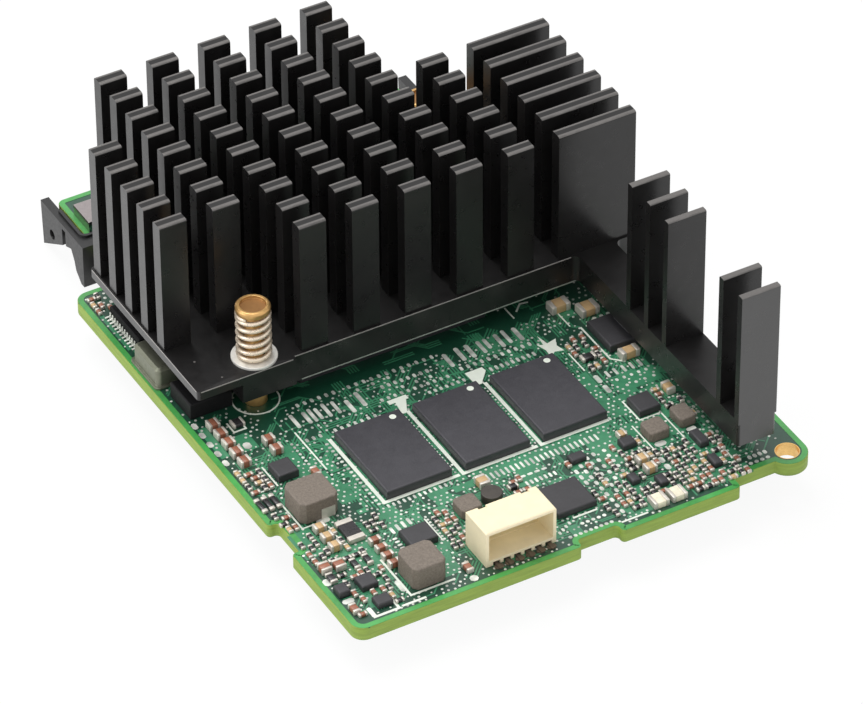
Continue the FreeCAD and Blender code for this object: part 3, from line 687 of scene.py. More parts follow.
# ---------------------------------------------------------------- board surface
# Rows of tinned pads: first x, first y, step in x, step in y, count, width, length.
PAD_ROWS = (
    (12.1, 34.8, 0.87, 0.0, 6, 0.36, 0.62), (18.3, 34.8, 0.92, 0.0, 12, 0.36, 0.62),
    (21.4, 33.0, 0.78, 0.0, 8, 0.36, 0.62), (20.3, 31.1, 0.80, 0.0, 11, 0.34, 0.56),
    (10.2, 29.2, 0.80, 0.0, 3, 0.34, 0.60), (13.6, 29.2, 0.80, 0.0, 7, 0.34, 0.60),
    (25.3, 29.7, 0.70, 0.0, 7, 0.32, 0.56), (32.9, 29.8, 0.66, 0.0, 9, 0.32, 0.72),
    (30.2, 31.5, 0.84, 0.0, 11, 0.36, 0.66), (23.3, 32.0, 1.7, 0.0, 3, 0.34, 0.5),
    (18.9, 33.9, 1.9, 0.1, 6, 0.36, 0.5), (10.2, 30.8, 0.75, 0.0, 9, 0.26, 0.34),
    (23.6, 14.5, 0.60, 0.0, 23, 0.26, 1.05), (26.9, 12.8, 0.85, 0.0, 4, 0.62, 0.34),
    (26.7, 11.6, 0.56, 0.0, 7, 0.28, 0.70), (28.4, 3.2, 0.66, 0.0, 5, 0.42, 0.40),
    (26.2, 1.9, 0.62, 0.0, 9, 0.40, 0.42), (25.6, 3.0, 0.55, 0.3, 4, 0.3, 0.5),
    (12.4, 15.6, 0.62, 0.0, 13, 0.28, 0.60), (10.4, 9.1, 0.0, 0.55, 4, 0.55, 0.28),
    (10.8, 12.0, 0.75, 0.15, 4, 0.36, 1.10), (14.85, 8.2, 0.0, 0.50, 9, 0.26, 0.30),
    (1.05, 30.2, 0.0, 1.74, 5, 0.62, 1.00), (8.5, 25.1, 0.0, 0.62, 8, 0.32, 0.36),
    (20.6, 16.6, 0.0, 0.55, 21, 0.24, 0.30), (21.1, 16.9, 0.0, 0.55, 20, 0.22, 0.26),
    (30.3, 16.6, 0.0, 0.55, 21, 0.24, 0.30), (30.75, 16.9, 0.0, 0.55, 20, 0.2, 0.26),
    (11.7, 16.4, 0.0, 0.66, 18, 0.40, 0.34), (39.6, 16.4, 0.0, 0.80, 15, 0.28, 0.50),
    (43.2, 22.9, 1.0, 0.0, 5, 0.34, 1.15), (41.9, 22.7, 0.0, -1.9, 2, 0.55, 1.40),
    (43.6, 21.6, 0.9, 0.0, 5, 0.34, 0.44), (44.1, 20.3, 1.1, 0.0, 4, 0.36, 0.40),
    (48.3, 8.0, 0.0, 0.95, 9, 0.32, 0.42), (49.0, 3.6, 0.62, 0.0, 7, 0.42, 0.60),
    (48.6, 2.7, 0.70, 0.0, 6, 0.46, 0.44), (46.9, 31.6, 0.85, 0.0, 3, 0.45, 0.9),
    (32.1, 8.6, 0.0, 1.0, 3, 0.40, 0.72), (33.0, 2.8, 0.0, 1.05, 9, 0.42, 0.66),
    (34.2, 6.0, 0.0, 1.0, 7, 0.40, 0.62), (35.1, 7.8, 0.0, 1.1, 5, 0.42, 0.6),
    (40.8, 6.6, 0.0, 1.25, 2, 0.62, 0.95), (36.4, 8.4, 0.0, 0.95, 5, 0.45, 0.5),
    (1.3, 46.2, 0.0, 0.9, 4, 0.30, 0.4), (3.2, 60.4, 0.8, 0.0, 7, 0.4, 0.5),
    (2.9, 61.3, 0.8, 0.0, 8, 0.34, 0.4),
    (10.0, 68.0, 1.0, 0.0, 36, 0.38, 0.7), (10.0, 78.0, 1.0, 0.0, 36, 0.34, 0.5),
)
# Tall tinned bars: x, y, width, length.
PAD_BARS = (
    (10.6, 32.6, 0.44, 2.4), (12.0, 32.5, 0.44, 2.1), (12.7, 32.6, 0.40, 2.3),
    (13.4, 32.5, 0.40, 2.0), (14.4, 32.6, 0.42, 2.4), (15.5, 32.5, 0.40, 2.2),
    (16.9, 31.9, 0.50, 2.3), (18.4, 32.4, 0.50, 2.6), (29.7, 33.4, 0.50, 2.4),
    (31.3, 33.7, 0.50, 2.4), (32.5, 33.6, 0.52, 2.4), (33.9, 33.6, 0.44, 2.2),
    (34.7, 33.8, 0.44, 1.8), (36.1, 33.6, 0.48, 2.4), (37.1, 33.8, 0.44, 2.4),
    (38.4, 33.6, 0.52, 2.4), (4.35, 31.6, 0.85, 1.1), (5.4, 17.0, 1.5, 0.8),
    (7.3, 4.0, 0.7, 1.9), (1.5, 4.6, 1.3, 0.7), (1.0, 8.2, 0.8, 1.1),
    (42.1, 10.2, 1.3, 0.8), (46.2, 10.7, 1.1, 0.6), (2.7, 1.9, 0.5, 1.6),
    (14.4, 1.3, 0.9, 0.9), (47.1, 24.9, 1.9, 1.3), (46.7, 31.3, 0.8, 1.0),
)
# White legend strokes: width, then board points.
LEGEND_STROKES = (
    (0.42, (12.3, 28.2), (12.3, 16.3), (21.3, 16.3)),
    (0.42, (21.75, 28.2), (21.75, 16.3), (30.7, 16.3)),
    (0.42, (31.2, 28.2), (31.2, 16.3), (39.4, 16.3)),
    (0.24, (7.5, 8.6), (7.5, 2.2), (12.7, 2.2)), (0.30, (5.5, 3.7), (5.5, 1.1), (2.5, 1.1)),
    (0.28, (5.9, 1.2), (8.7, 1.2)), (0.18, (2.9, 21.6), (2.9, 16.9), (4.4, 16.9)),
    (0.18, (4.0, 27.7), (4.0, 24.2)), (0.18, (9.7, 31.0), (9.7, 24.0)),
    (0.16, (14.6, 12.0), (14.6, 8.0)), (0.24, (28.0, 4.4), (30.9, 4.4)),
    (0.16, (41.0, 14.2), (41.0, 8.6), (43.9, 8.6)), (0.16, (44.8, 15.0), (44.8, 9.6)),
    (0.18, (42.2, 18.2), (42.2, 14.6), (44.9, 14.6)), (0.22, (47.4, 7.2), (47.4, 4.4)),
    (0.20, (44.8, 31.2), (44.8, 25.0), (46.0, 23.8)), (0.16, (41.4, 28.0), (41.4, 24.6)),
    (0.18, (39.4, 38.2), (39.4, 36.1)), (0.20, (40.2, 37.0), (41.2, 38.0), (42.1, 37.8)),
    (0.22, (32.0, 1.3), (35.2, 1.3)), (0.16, (5.4, 15.9), (5.4, 12.0)),
    (0.16, (35.0, 7.0), (35.0, 3.6), (37.6, 3.6)), (0.16, (0.9, 24.2), (3.4, 24.2)),
    (0.16, (43.9, 36.2), (43.9, 31.9)), (0.14, (9.8, 43.8), (6.6, 43.8), (6.6, 50.8)),
    (0.30, (1.85, 51.3), (1.85, 58.2)), (0.2, (4.2, 35.9), (4.2, 34.2), (5.6, 34.2), (5.6, 35.9)),
    (0.16, (8.0, 77.2), (47.2, 77.2)),
)
# Solid white legend marks, as outlines.
LEGEND_MARKS = (
    ((20.6, 30.0), (22.9, 30.0), (22.9, 30.65), (20.6, 30.65)),
    ((21.0, 28.0), (21.6, 28.0), (22.6, 30.0), (21.3, 30.0)),
    ((30.2, 28.3), (30.8, 28.2), (32.3, 29.9), (32.2, 30.6), (30.1, 30.6)),
    ((39.5, 28.4), (40.3, 29.0), (41.3, 28.7), (41.0, 29.8), (41.5, 30.9), (40.3, 30.6),
     (40.0, 32.2), (39.8, 30.6), (39.2, 30.9), (39.6, 29.7)),
)
# Bright green copper areas under the mask: left, front, right, back.
COPPER_POURS = (
    (7.0, 24.5, 8.2, 29.5), (12.8, 3.5, 14.1, 6.2), (16.3, 11.6, 17.6, 13.0),
    (5.6, 1.5, 6.4, 9.0), (33.3, 2.0, 34.0, 5.2), (40.0, 16.2, 41.3, 24.2),
    (41.5, 16.5, 42.0, 21.5), (42.8, 19.5, 48.2, 22.0), (43.6, 33.3, 45.6, 35.8),
    (0.9, 12.3, 3.2, 16.6), (3.6, 30.8, 5.4, 33.6), (8.5, 20.0, 9.5, 24.0),
    (42.4, 2.6, 45.8, 3.8), (46.6, 7.2, 48.0, 10.2), (12.9, 7.0, 15.8, 8.0),
    (1.0, 31.0, 2.0, 36.5), (3.8, 45.0, 6.2, 50.0), (22.2, 14.0, 38.4, 15.9),
    (0.9, 52.0, 1.4, 60.0), (44.5, 16.8, 48.3, 19.0), (35.4, 9.6, 38.0, 14.6),
)
# Zones that are filled with small tinned dots, left, front, right, back, pitch, share.
DOT_ZONES = (
    (0.95, 0.95, 47.3, 28.4, 0.68, 0.78), (0.95, 28.4, 44.0, 35.4, 0.70, 0.60),
    (47.3, 1.2, 54.0, 24.0, 0.70, 0.60), (0.95, 35.4, 10.4, 63.0, 0.74, 0.55),
    (44.0, 28.4, 54.0, 38.0, 0.74, 0.50), (7.2, 63.6, 48.0, 78.6, 0.95, 0.45),
    (13.0, 38.2, 54.0, 63.0, 1.60, 0.35),
)
# Zones where the smallest chip parts stand: left, front, right, back, share of the places.
FINE_ZONES = (
    (1.2, 1.3, 7.2, 16.0, 0.55), (14.8, 6.0, 17.6, 13.2, 0.6), (24.2, 10.4, 26.6, 13.4, 0.8),
    (31.6, 2.2, 40.6, 13.6, 0.55), (40.6, 1.4, 48.2, 9.8, 0.70), (0.9, 24.0, 3.6, 28.4, 0.8),
    (8.6, 12.6, 11.2, 15.4, 0.7), (41.6, 24.0, 44.4, 30.6, 0.5), (4.6, 9.8, 7.2, 12.0, 0.6),
    (45.6, 11.0, 48.3, 19.2, 0.35), (0.9, 58.8, 8.0, 62.4, 0.5), (1.0, 16.8, 2.8, 20.4, 0.5),
    (9.0, 64.5, 46.0, 71.6, 0.18),
)


class Layout:
    """What already lies on the board, so that nothing is put where something stands."""

    def __init__(self):
        self.taken = []
        for node in TOP_NODES:
            for low, high in solid_boxes(node):
                self.take(low.x, low.y, high.x, high.y)

    def take(self, left, front, right, back):
        self.taken.append((left, front, right, back))

    def free(self, left, front, right, back, gap):
        return not any(left - gap < other[2] and right + gap > other[0] and
                       front - gap < other[3] and back + gap > other[1]
                       for other in self.taken)


def gap_to_line(point, a, b):
    """Distance from a point to the straight line between a and b."""
    start, run = Vector(a), Vector(b) - Vector(a)
    share = (point - start).dot(run) / max(run.length_squared, 1e-9)
    return (start + run * max(0.0, min(1.0, share)) - point).length


def inside(outline, x, y, margin):
    """True where a point is inside the outline and at least the margin away from it."""
    crossings = False
    here = Vector((x, y))
    for a, b in zip(outline, outline[1:] + outline[:1]):
        if (a[1] > y) != (b[1] > y):
            if x < (b[0] - a[0]) * (y - a[1]) / (b[1] - a[1]) + a[0]:
                crossings = not crossings
        if gap_to_line(here, a, b) < margin:
            return False
    return crossings


def add_pad(bm, x, y, width, length, bottom, top):
    """Adds a flat pad with cut corners, centred on x and y."""
    w, d = width / 2, length / 2
    cut = 0.3 * min(width, length)
    add_prism(bm, [(x - w + cut, y - d), (x + w - cut, y - d), (x + w, y - d + cut),
                   (x + w, y + d - cut), (x + w - cut, y + d), (x - w + cut, y + d),
                   (x - w, y + d - cut), (x - w, y - d + cut)], bottom, top, cap=False)


def clear_of_holes(holes, points, gap):
    """True where a line through the points stays that far from every round hole."""
    for middle, radius in holes:
        for a, b in zip(points, points[1:] + points[-1:]):
            if gap_to_line(Vector(middle), a, b) < radius + gap:
                return False
    return True


TURNS = [Vector((math.cos(math.radians(45 * i)), math.sin(math.radians(45 * i))))
         for i in range(8)]


# Distance of traces from the outline and from a hole, and their pitch in trace widths.
TRACE_MARGIN, TRACE_GAP, TRACE_PITCH = 0.8, 0.45, 2.1


def add_traces(bm, rng, outline, holes, zone, bundles, bottom, top, width):
    """Adds bundles of parallel traces that turn by 45 degrees, each bundle at its own height."""
    left, front, right, back = zone
    for _ in range(bundles):
        here = Vector((rng.uniform(left, right), rng.uniform(front, back)))
        heading = rng.choice((0, 2, 4, 6, 6, 2, 1, 5))
        points = [here]
        for _ in range(rng.choice((1, 2, 3))):
            here = here + TURNS[heading] * rng.uniform(0.8, 4.2)
            points.append(here)
            heading = (heading + rng.choice((-1, 1))) % 8
        lines = rng.choice((1, 2, 3, 4))
        lift = (top - bottom) * rng.uniform(0.0, 0.35)
        side = Vector((-(points[1] - points[0]).y, (points[1] - points[0]).x)).normalized()
        for line in range(lines):
            shift = side * (line * width * TRACE_PITCH)
            moved = [tuple(p + shift) for p in points]
            if all(left < p[0] < right and front < p[1] < back and
                   inside(outline, p[0], p[1], TRACE_MARGIN) for p in moved) and (
                       clear_of_holes(holes, moved, TRACE_GAP)):
                add_stroke(bm, moved, width, bottom, top + lift * (1.0 + 0.1 * line))


# Every random draw comes from one generator with this seed.
SEED = 27
# Zones with traces on the upper face: left, front, right, back, number of bundles.
TRACE_ZONES = ((1.0, 1.0, 54.0, 36.2, 620), (1.0, 36.2, 54.0, 63.0, 260),
               (7.0, 62.0, 48.2, 78.6, 160))
# The same for the underside.
UNDERSIDE_TRACES = (1.0, 1.0, 54.0, 63.0, 420)
UNDERSIDE_VIAS = 900
LOOSE_AREAS = 150
TRACE_HEIGHT = 0.014
VIA_HEIGHT = 0.03
PAD_HEIGHT = 0.035
BAR_HEIGHT = 0.04
# Stated copper areas: height of the first, and how much higher each next one is.
COPPER_HEIGHT, COPPER_STEP = 0.0095, 0.0002
# Zone of the scattered copper areas: left, front, right, back.
LOOSE_ZONE = (1.2, 1.2, 46.0, 24.0)
# Free space round a hole in which nothing stands.
HOLE_MARGIN = 0.5
# Smallest chip parts: width, length, height.
FINE_PART_SIZE = (0.5, 1.0, 0.38)
# Steps from one possible place of a fine part to the next, to the right and to the back.
FINE_STEP = (0.36, 0.42)
# How far from a zone's right and back edge the last place is.
FINE_END = (0.5, 0.9)
FINE_GAP = 0.07
UPRIGHT_SHARE = 0.62
FINE_CAP_SHARE = 0.26
# Vias: distance from the outline, from other things, and how far off its row one may be.
VIA_MARGIN, VIA_GAP, VIA_DRIFT = 0.75, 0.06, 0.1


def add_copper_areas(bm, rng):
    """Adds the stated copper areas and a scatter of small ones; no two share a height."""
    for i, (left, front, right, back) in enumerate(COPPER_POURS):
        add_prism(bm, [(left, front), (right, front), (right, back), (left, back)],
                  BOARD_TOP - SUNK, BOARD_TOP + COPPER_HEIGHT + COPPER_STEP * i, cap=False)
    left, front, right, back = LOOSE_ZONE
    for _ in range(LOOSE_AREAS):
        x, y = rng.uniform(left, right), rng.uniform(front, back)
        w, d = rng.uniform(0.7, 2.6), rng.uniform(0.6, 2.4)
        add_prism(bm, [(x, y), (x + w, y), (x + w, y + d), (x, y + d)],
                  BOARD_TOP - SUNK, BOARD_TOP + rng.uniform(0.003, 0.009), cap=False)


def add_pads(bm, layout):
    """Adds the rows of pads, where nothing stands yet, and the tall bars."""
    for x, y, dx, dy, count, width, length_ in PAD_ROWS:
        for i in range(count):
            px, py = x + i * dx, y + i * dy
            edges = (px - width / 2, py - length_ / 2, px + width / 2, py + length_ / 2)
            if layout.free(*edges, -0.05):
                add_pad(bm, px, py, width, length_, BOARD_TOP - SUNK, BOARD_TOP + PAD_HEIGHT)
                layout.take(*edges)
    for x, y, width, length_ in PAD_BARS:
        add_pad(bm, x, y, width, length_, BOARD_TOP - SUNK, BOARD_TOP + BAR_HEIGHT)
        layout.take(x - width / 2, y - length_ / 2, x + width / 2, y + length_ / 2)


# How far the body of a chip part stays below its metal ends.
BODY_INSET = 0.03


def add_end_capped(bm, low, high, cap_share, side_inset, body=0, ends=1):
    """Adds a chip part: a body between two metal ends along its longer side."""
    along = 0 if high.x - low.x >= high.y - low.y else 1
    across = 1 - along
    cap = cap_share * (high[along] - low[along])
    body_low, body_high = low.copy(), high.copy()
    body_low[along] += cap
    body_high[along] -= cap
    body_low[across] += side_inset
    body_high[across] -= side_inset
    body_high.z -= BODY_INSET
    add_box(bm, body_low, body_high, body)
    near, far = high.copy(), low.copy()
    near[along] = low[along] + cap
    far[along] = high[along] - cap
    add_box(bm, low, near, ends)
    add_box(bm, far, high, ends)


def add_fine_parts(bm, rng, layout):
    """Stands the smallest chip parts in their zones, brown, dark or tan."""
    short, long, height = FINE_PART_SIZE
    for left, front, right, back, share in FINE_ZONES:
        y = front
        while y < back - FINE_END[1]:
            x = left
            while x < right - FINE_END[0]:
                upright = rng.random() < UPRIGHT_SHARE
                w, d = (short, long) if upright else (long, short)
                if rng.random() < share and layout.free(x, y, x + w, y + d, FINE_GAP):
                    add_end_capped(bm, Vector((x, y, BOARD_TOP)),
                                   Vector((x + w, y + d, BOARD_TOP + height)),
                                   FINE_CAP_SHARE, 0.0, rng.choice((0, 0, 1, 1, 1, 2)), 3)
                    layout.take(x, y, x + w, y + d)
                x += FINE_STEP[0]
            y += FINE_STEP[1]


def add_vias(bm, rng, layout, outline, size):
    """Adds the tinned dots of the upper face, in staggered rows that aren't quite even."""
    for left, front, right, back, pitch, share in DOT_ZONES:
        for row in range(int((back - front) / (pitch * 0.9))):
            y = front + row * pitch * 0.9
            for column in range(int((right - left) / pitch)):
                x = left + (column + 0.5 * (row % 2)) * pitch
                x += rng.uniform(-VIA_DRIFT, VIA_DRIFT)
                py = y + rng.uniform(-VIA_DRIFT, VIA_DRIFT)
                if rng.random() > share or not inside(outline, x, py, VIA_MARGIN):
                    continue
                r = size / 2 * rng.choice((0.7, 0.85, 1.0, 1.0))
                if layout.free(x - r, py - r, x + r, py + r, VIA_GAP):
                    add_prism(bm, circle(x, py, r, 7, rng.random()), BOARD_TOP - SUNK,
                              BOARD_TOP + VIA_HEIGHT, cap=False)


def add_underside_vias(bm, rng, outline, holes, size):
    """Scatters tinned dots over the underside, clear of its holes."""
    for _ in range(UNDERSIDE_VIAS):
        x, y = rng.uniform(1.0, 54.0), rng.uniform(1.0, 78.5)
        if inside(outline, x, y, 0.8) and clear_of_holes(holes, [(x, y)], 0.3):
            ring = circle(x, y, size / 2 * rng.choice((0.7, 1.0)), 7)[::-1]
            add_prism(bm, ring, SUNK, -VIA_HEIGHT, cap=False)


class CARD_OT_board_copper(bpy.types.Operator):
    """Draws the traces, copper areas, vias and pads on both faces, and the smallest parts"""
    bl_idname = "card.board_copper"
    bl_label = "Board copper"

    def execute(self, context):
        rng = random.Random(SEED)
        outline, holes = outer_outline(), round_holes()
        trace, via = sizes().trace_width / MM, sizes().via_diameter / MM

        bm = bmesh.new()
        add_copper_areas(bm, rng)
        new_piece("copper_areas", bm, ["masked_copper"])
        bm = bmesh.new()
        for *zone, bundles in TRACE_ZONES:
            add_traces(bm, rng, outline, holes, zone, bundles, BOARD_TOP - SUNK,
                       BOARD_TOP + TRACE_HEIGHT, trace)
        new_piece("top_traces", bm, ["masked_copper"])

        layout = Layout()
        for middle, radius in holes:
            reach = radius + HOLE_MARGIN
            layout.take(middle[0] - reach, middle[1] - reach, middle[0] + reach,
                        middle[1] + reach)
        bm = bmesh.new()
        add_pads(bm, layout)
        new_piece("tinned_pads", bm, ["tinned_metal"])

        bm = bmesh.new()
        add_fine_parts(bm, rng, layout)
        fine = new_piece("fine_chip_parts", bm, ["brown_ceramic", "resistor_glaze",
                                                 "tan_ceramic", "tinned_ends"])
        rounded(fine, FINE_EDGE, 1)

        bm = bmesh.new()
        add_vias(bm, rng, layout, outline, via)
        new_piece("tinned_vias", bm, ["tinned_metal"])
        bm = bmesh.new()
        add_underside_vias(bm, rng, outline, holes, via)
        new_piece("underside_vias", bm, ["tinned_metal"])
        bm = bmesh.new()
        *zone, bundles = UNDERSIDE_TRACES
        add_traces(bm, rng, outline, holes, zone, bundles, SUNK, -TRACE_HEIGHT, trace)
        bm.normal_update()
        bmesh.ops.reverse_faces(bm, faces=bm.faces)
        new_piece("underside_traces", bm, ["masked_copper"])
        return {"FINISHED"}


INK_HEIGHT, MARK_HEIGHT = 0.045, 0.05
COLLAR_RING_RADIUS = 2.65
COLLAR_RING_WIDTH = 0.17


class CARD_OT_board_legend(bpy.types.Operator):
    """Prints the plain white outlines and marks of the board legend"""
    bl_idname = "card.board_legend"
    bl_label = "Board legend"

    def execute(self, context):
        bm = bmesh.new()
        bottom, top = BOARD_TOP - SUNK, BOARD_TOP + INK_HEIGHT
        for width, *points in LEGEND_STROKES:
            add_stroke(bm, points, width, bottom, top)
        for mark in LEGEND_MARKS:
            add_prism(bm, mark, bottom, BOARD_TOP + MARK_HEIGHT, cap=False)
        for low, high in solid_boxes("screw_collars"):
            ring = circle((low.x + high.x) / 2, (low.y + high.y) / 2, COLLAR_RING_RADIUS, 48)
            add_band(bm, ring, COLLAR_RING_WIDTH, bottom, top)
        new_piece("board_legend", bm, ["legend_ink"])
        return {"FINISHED"}


# The plated hole is the only round one this near the board's front edge.
LUG_BACK = 10.0
PLATING = 0.05
PLATING_PROUD = 0.02


class CARD_OT_plated_hole(bpy.types.Operator):
    """Builds the plated wall of the corner hole"""
    bl_idname = "card.plated_hole"
    bl_label = "Plated hole"

    def execute(self, context):
        holes = [hole for hole in round_holes() if hole[0][1] < LUG_BACK]
        if not holes:
            raise RuntimeError("the board has no round hole near its front edge")
        bm = bmesh.new()
        for middle, radius in holes:
            inner, rim = radius - PLATING, radius + PLATING
            add_lathe(bm, middle, ((inner, -PLATING_PROUD), (inner, BOARD_TOP + PLATING_PROUD),
                                   (rim, BOARD_TOP + PLATING_PROUD), (rim, BOARD_TOP - SUNK)))
            add_lathe(bm, middle, ((rim, SUNK), (rim, -PLATING_PROUD), (inner, -PLATING_PROUD)))
        new_piece("plated_hole_ring", bm, ["gold_plating"])
        return {"FINISHED"}


# Heat sink, in board millimetres.
SINK_BASE = 3.5                 # thickness of its base
OUTER_FIN_REACH = 1.2           # faces left of this are the outermost ones
ARM_START = 46.0                # the edges of the arm's base stay sharp
SHARP_ANGLE = 0.5               # radians; flatter edges are shaded smooth
# Boss round the front screw: how far it and the slab's edges lie from the screw's axis.
BOSS_LEFT, BOSS_RIGHT, BOSS_FRONT, BOSS_BACK = 2.75, 3.7, 2.51, 2.6
SLAB_LEFT, SLAB_FRONT = 4.5, 2.09
BOSS_HOLE = 1.3                 # radius
BOSS_BELOW_TOP = 0.14           # how far the boss stays below the top of the base
SLAB_RIGHT = 47.0               # where the painted highlight strip on the front lower edge ends
# Bare spots on the flange: x, y, radius.
FLANGE_NICKS = ((2.9, 40.3, 0.14), (4.2, 36.6, 0.11))


def sort_sink_faces(bm, sink_front):
    """Gives each face its finish: side, painted edge highlight, cut top, or outer face with
    painted sheen.
    """
    for face in bm.faces:
        slope, middle = face.normal.z, (face.calc_center_median() - BOARD_LOW) / MM
        # Sloped faces, such as the rounded edges of the pin tops, take the painted edge highlight;
        # the outermost left faces and the front faces take the painted sheen.
        face.material_index = 2 if slope >= 0.94 else 1 if slope > 0.35 else 0
        if ((face.normal.x < -0.9 and middle.x < OUTER_FIN_REACH) or
                (face.normal.y < -0.9 and middle.y < sink_front + 0.2)):
            face.material_index = 3


def sort_sink_edges(bm, base_top):
    """Marks the base's upper edges to be rounded and shades every other corner sharp."""
    weights = bm.edges.layers.float.new("bevel_weight_edge")
    for edge in bm.edges:
        a, b = [(v.co - BOARD_LOW) / MM for v in edge.verts]
        if (abs(a.z - base_top) < 0.01 and abs(b.z - base_top) < 0.01 and
                edge.is_manifold and edge.is_convex and min(a.x, b.x) < ARM_START and
                edge.calc_face_angle() > SHARP_ANGLE and (a - b).length > 0.3):
            edge[weights] = 1.0
        elif edge.is_manifold and edge.calc_face_angle() > SHARP_ANGLE:
            edge.smooth = False


class CARD_OT_heat_sink(bpy.types.Operator):
    """Builds the pin-fin heat sink with the boss at its front screw, painted highlights on its
    edges and nicks on its flange
    """
    bl_idname = "card.heat_sink"
    bl_label = "Heat sink"

    def execute(self, context):
        low, high = board_box("heat_sink")
        bottom, base_top = low.z, low.z + SINK_BASE
        bm = node_solids("heat_sink")
        bm.normal_update()
        sort_sink_faces(bm, low.y)
        sort_sink_edges(bm, base_top)
        sink = new_piece("pin_fin_heat_sink", bm,
                         ["black_anodised", "worn_edges", "cut_tops", "burnished_faces",
                          "rubbed_edges"], ["heat_sink"])
        rounded(sink, sizes().sink_edge)
        sink.modifiers["flat_normals"].keep_sharp = True
        bevel = sink.modifiers["rounded_edges"]
        bevel.limit_method = "WEIGHT"
        bevel.material = 4      # the painted highlight on the base's rounded upper edges
        bevel.use_clamp_overlap = False

        # The thick base runs on under the flange round the front screw, left of the slab.
        screw_low, screw_high = solid_boxes("spring_screws")[0]
        x, y = (screw_low.x + screw_high.x) / 2, (screw_low.y + screw_high.y) / 2
        left, right, slab_left = x - BOSS_LEFT, x + BOSS_RIGHT, x + SLAB_LEFT
        front, back, slab_front = y - BOSS_FRONT, y + BOSS_BACK, y - SLAB_FRONT
        boss_top = base_top - BOSS_BELOW_TOP
        arc = circle(x, y, BOSS_HOLE, 32)
        bm = bmesh.new()
        add_prism(bm, [(left, front), (right, front), (right, slab_front),
                       (slab_left, slab_front), (slab_left, y)] +
                  [arc[-i] for i in range(17)] + [(left, y)], bottom, boss_top)
        add_prism(bm, [(left, y)] + [arc[16 - i] for i in range(17)] +
                  [(slab_left, y), (slab_left, back), (left, back)], bottom, boss_top)
        new_piece("front_screw_boss", bm, ["black_anodised"])
        # A light strip under the slab's front edge: painted highlight.
        bm = bmesh.new()
        add_box(bm, (slab_left, slab_front - 0.02, bottom - 0.01),
                (SLAB_RIGHT, slab_front + 0.1, bottom + 0.13))
        new_piece("bare_base_edge", bm, ["bare_edge"])
        bm = bmesh.new()
        for px, py, radius in FLANGE_NICKS:
            add_prism(bm, circle(px, py, radius, 8), base_top - 0.01, base_top + 0.03)
        new_piece("flange_nicks", bm, ["worn_edges"])
        return {"FINISHED"}


# Orientation dot of a memory package: from its right and back edges to the middle, and radius.
MEMORY_DOT = (1.25, 0.95, 0.38)
# Tinned lands on the power module: x, y, width, length.
POWER_LANDS = ((48.5, 27.7, 0.5, 1.7), (49.4, 27.8, 0.5, 1.7), (49.6, 30.0, 0.4, 1.4))


class CARD_OT_chips(bpy.types.Operator):
    """Builds the controller, memory and small chips"""
    bl_idname = "card.chips"
    bl_label = "Chips"

    def execute(self, context):
        edge = sizes().chip_edge
        softened("controller_chip", "controller_package", "chip_moulding", edge)
        for node in ("controller_thermal_pad", "arm_thermal_pad"):
            softened(node, node + "_putty", "thermal_putty", edge)
        for place in ("left", "middle", "right"):
            softened("memory_chip_" + place, "memory_package_" + place, "memory_moulding",
                     edge)
            bm = bmesh.new()
            corner = board_box("memory_chip_" + place)[1]
            dot = circle(corner.x - MEMORY_DOT[0], corner.y - MEMORY_DOT[1], MEMORY_DOT[2], 24)
            add_prism(bm, dot, corner.z - 0.02, corner.z + 0.004, cap=False)
            new_piece("orientation_dot_" + place, bm, ["legend_ink"])
        for node in ("regulator_chip", "driver_chip", "bridge_chip", "logic_chip",
                     "power_module"):
            softened(node, node + "_body", "chip_moulding", edge)
        for node in ("corner_module", "edge_chip"):
            softened(node, node + "_body", "dark_moulding", edge)
        bm = bmesh.new()
        top = board_box("power_module")[1].z
        for x, y, width, length_ in POWER_LANDS:
            add_pad(bm, x, y, width, length_, top - 0.02, top + 0.02)
        new_piece("power_module_lands", bm, ["tinned_metal"])
        softened("edge_chip_leads", "edge_chip_tinned_leads", "tinned_metal",
                 sizes().metal_edge, 1)
        return {"FINISHED"}


# Where the header's solid walls go, axis by axis: (board millimetre in the solid, here).
HEADER_FIT = (
    ((16.1, 16.25), (16.6, 16.62), (17.0, 17.0), (23.3, 23.25), (24.2, 24.08),
     (24.7, 24.23), (25.2, 24.6)),
    ((2.4, 2.05), (6.5, 6.3)),
    ((1.6, 1.6), (2.35, 2.35), (4.55, 5.74), (5.1, 6.12)),
)

# The same for its contacts, which end under the step at the back of the cavity.
CONTACT_FIT = (
    ((16.0, 16.0), (25.0, 25.0)),
    ((1.3, 1.15), (2.4, 2.05), (4.1, 5.2), (5.4, 5.4), (5.6, 5.6)),
    ((1.6, 1.6), (1.8, 1.8), (3.35, 2.15), (3.55, 2.35)),
)
# Step at the back of the cavity, over the contacts' ways through the floor.
HEADER_STEP = ((16.55, 4.9, 2.3), (24.3, 5.45, 2.42))
# Soldered foot of a contact: y of its middle, width, length, height.
SOLDER_FOOT = (1.62, 1.02, 0.8, 0.1)


def refit(bm, tables):
    """Moves the points of a mesh by a table of (from, to) board millimetres for each axis."""
    for vertex in bm.verts:
        point = (vertex.co - BOARD_LOW) / MM
        for axis, table in enumerate(tables):
            for (a, to_a), (b, to_b) in zip(table, table[1:]):
                if point[axis] <= b or (b, to_b) == table[-1]:
                    point[axis] = to_a + (point[axis] - a) * (to_b - to_a) / (b - a)
                    break
        vertex.co = at(*point)


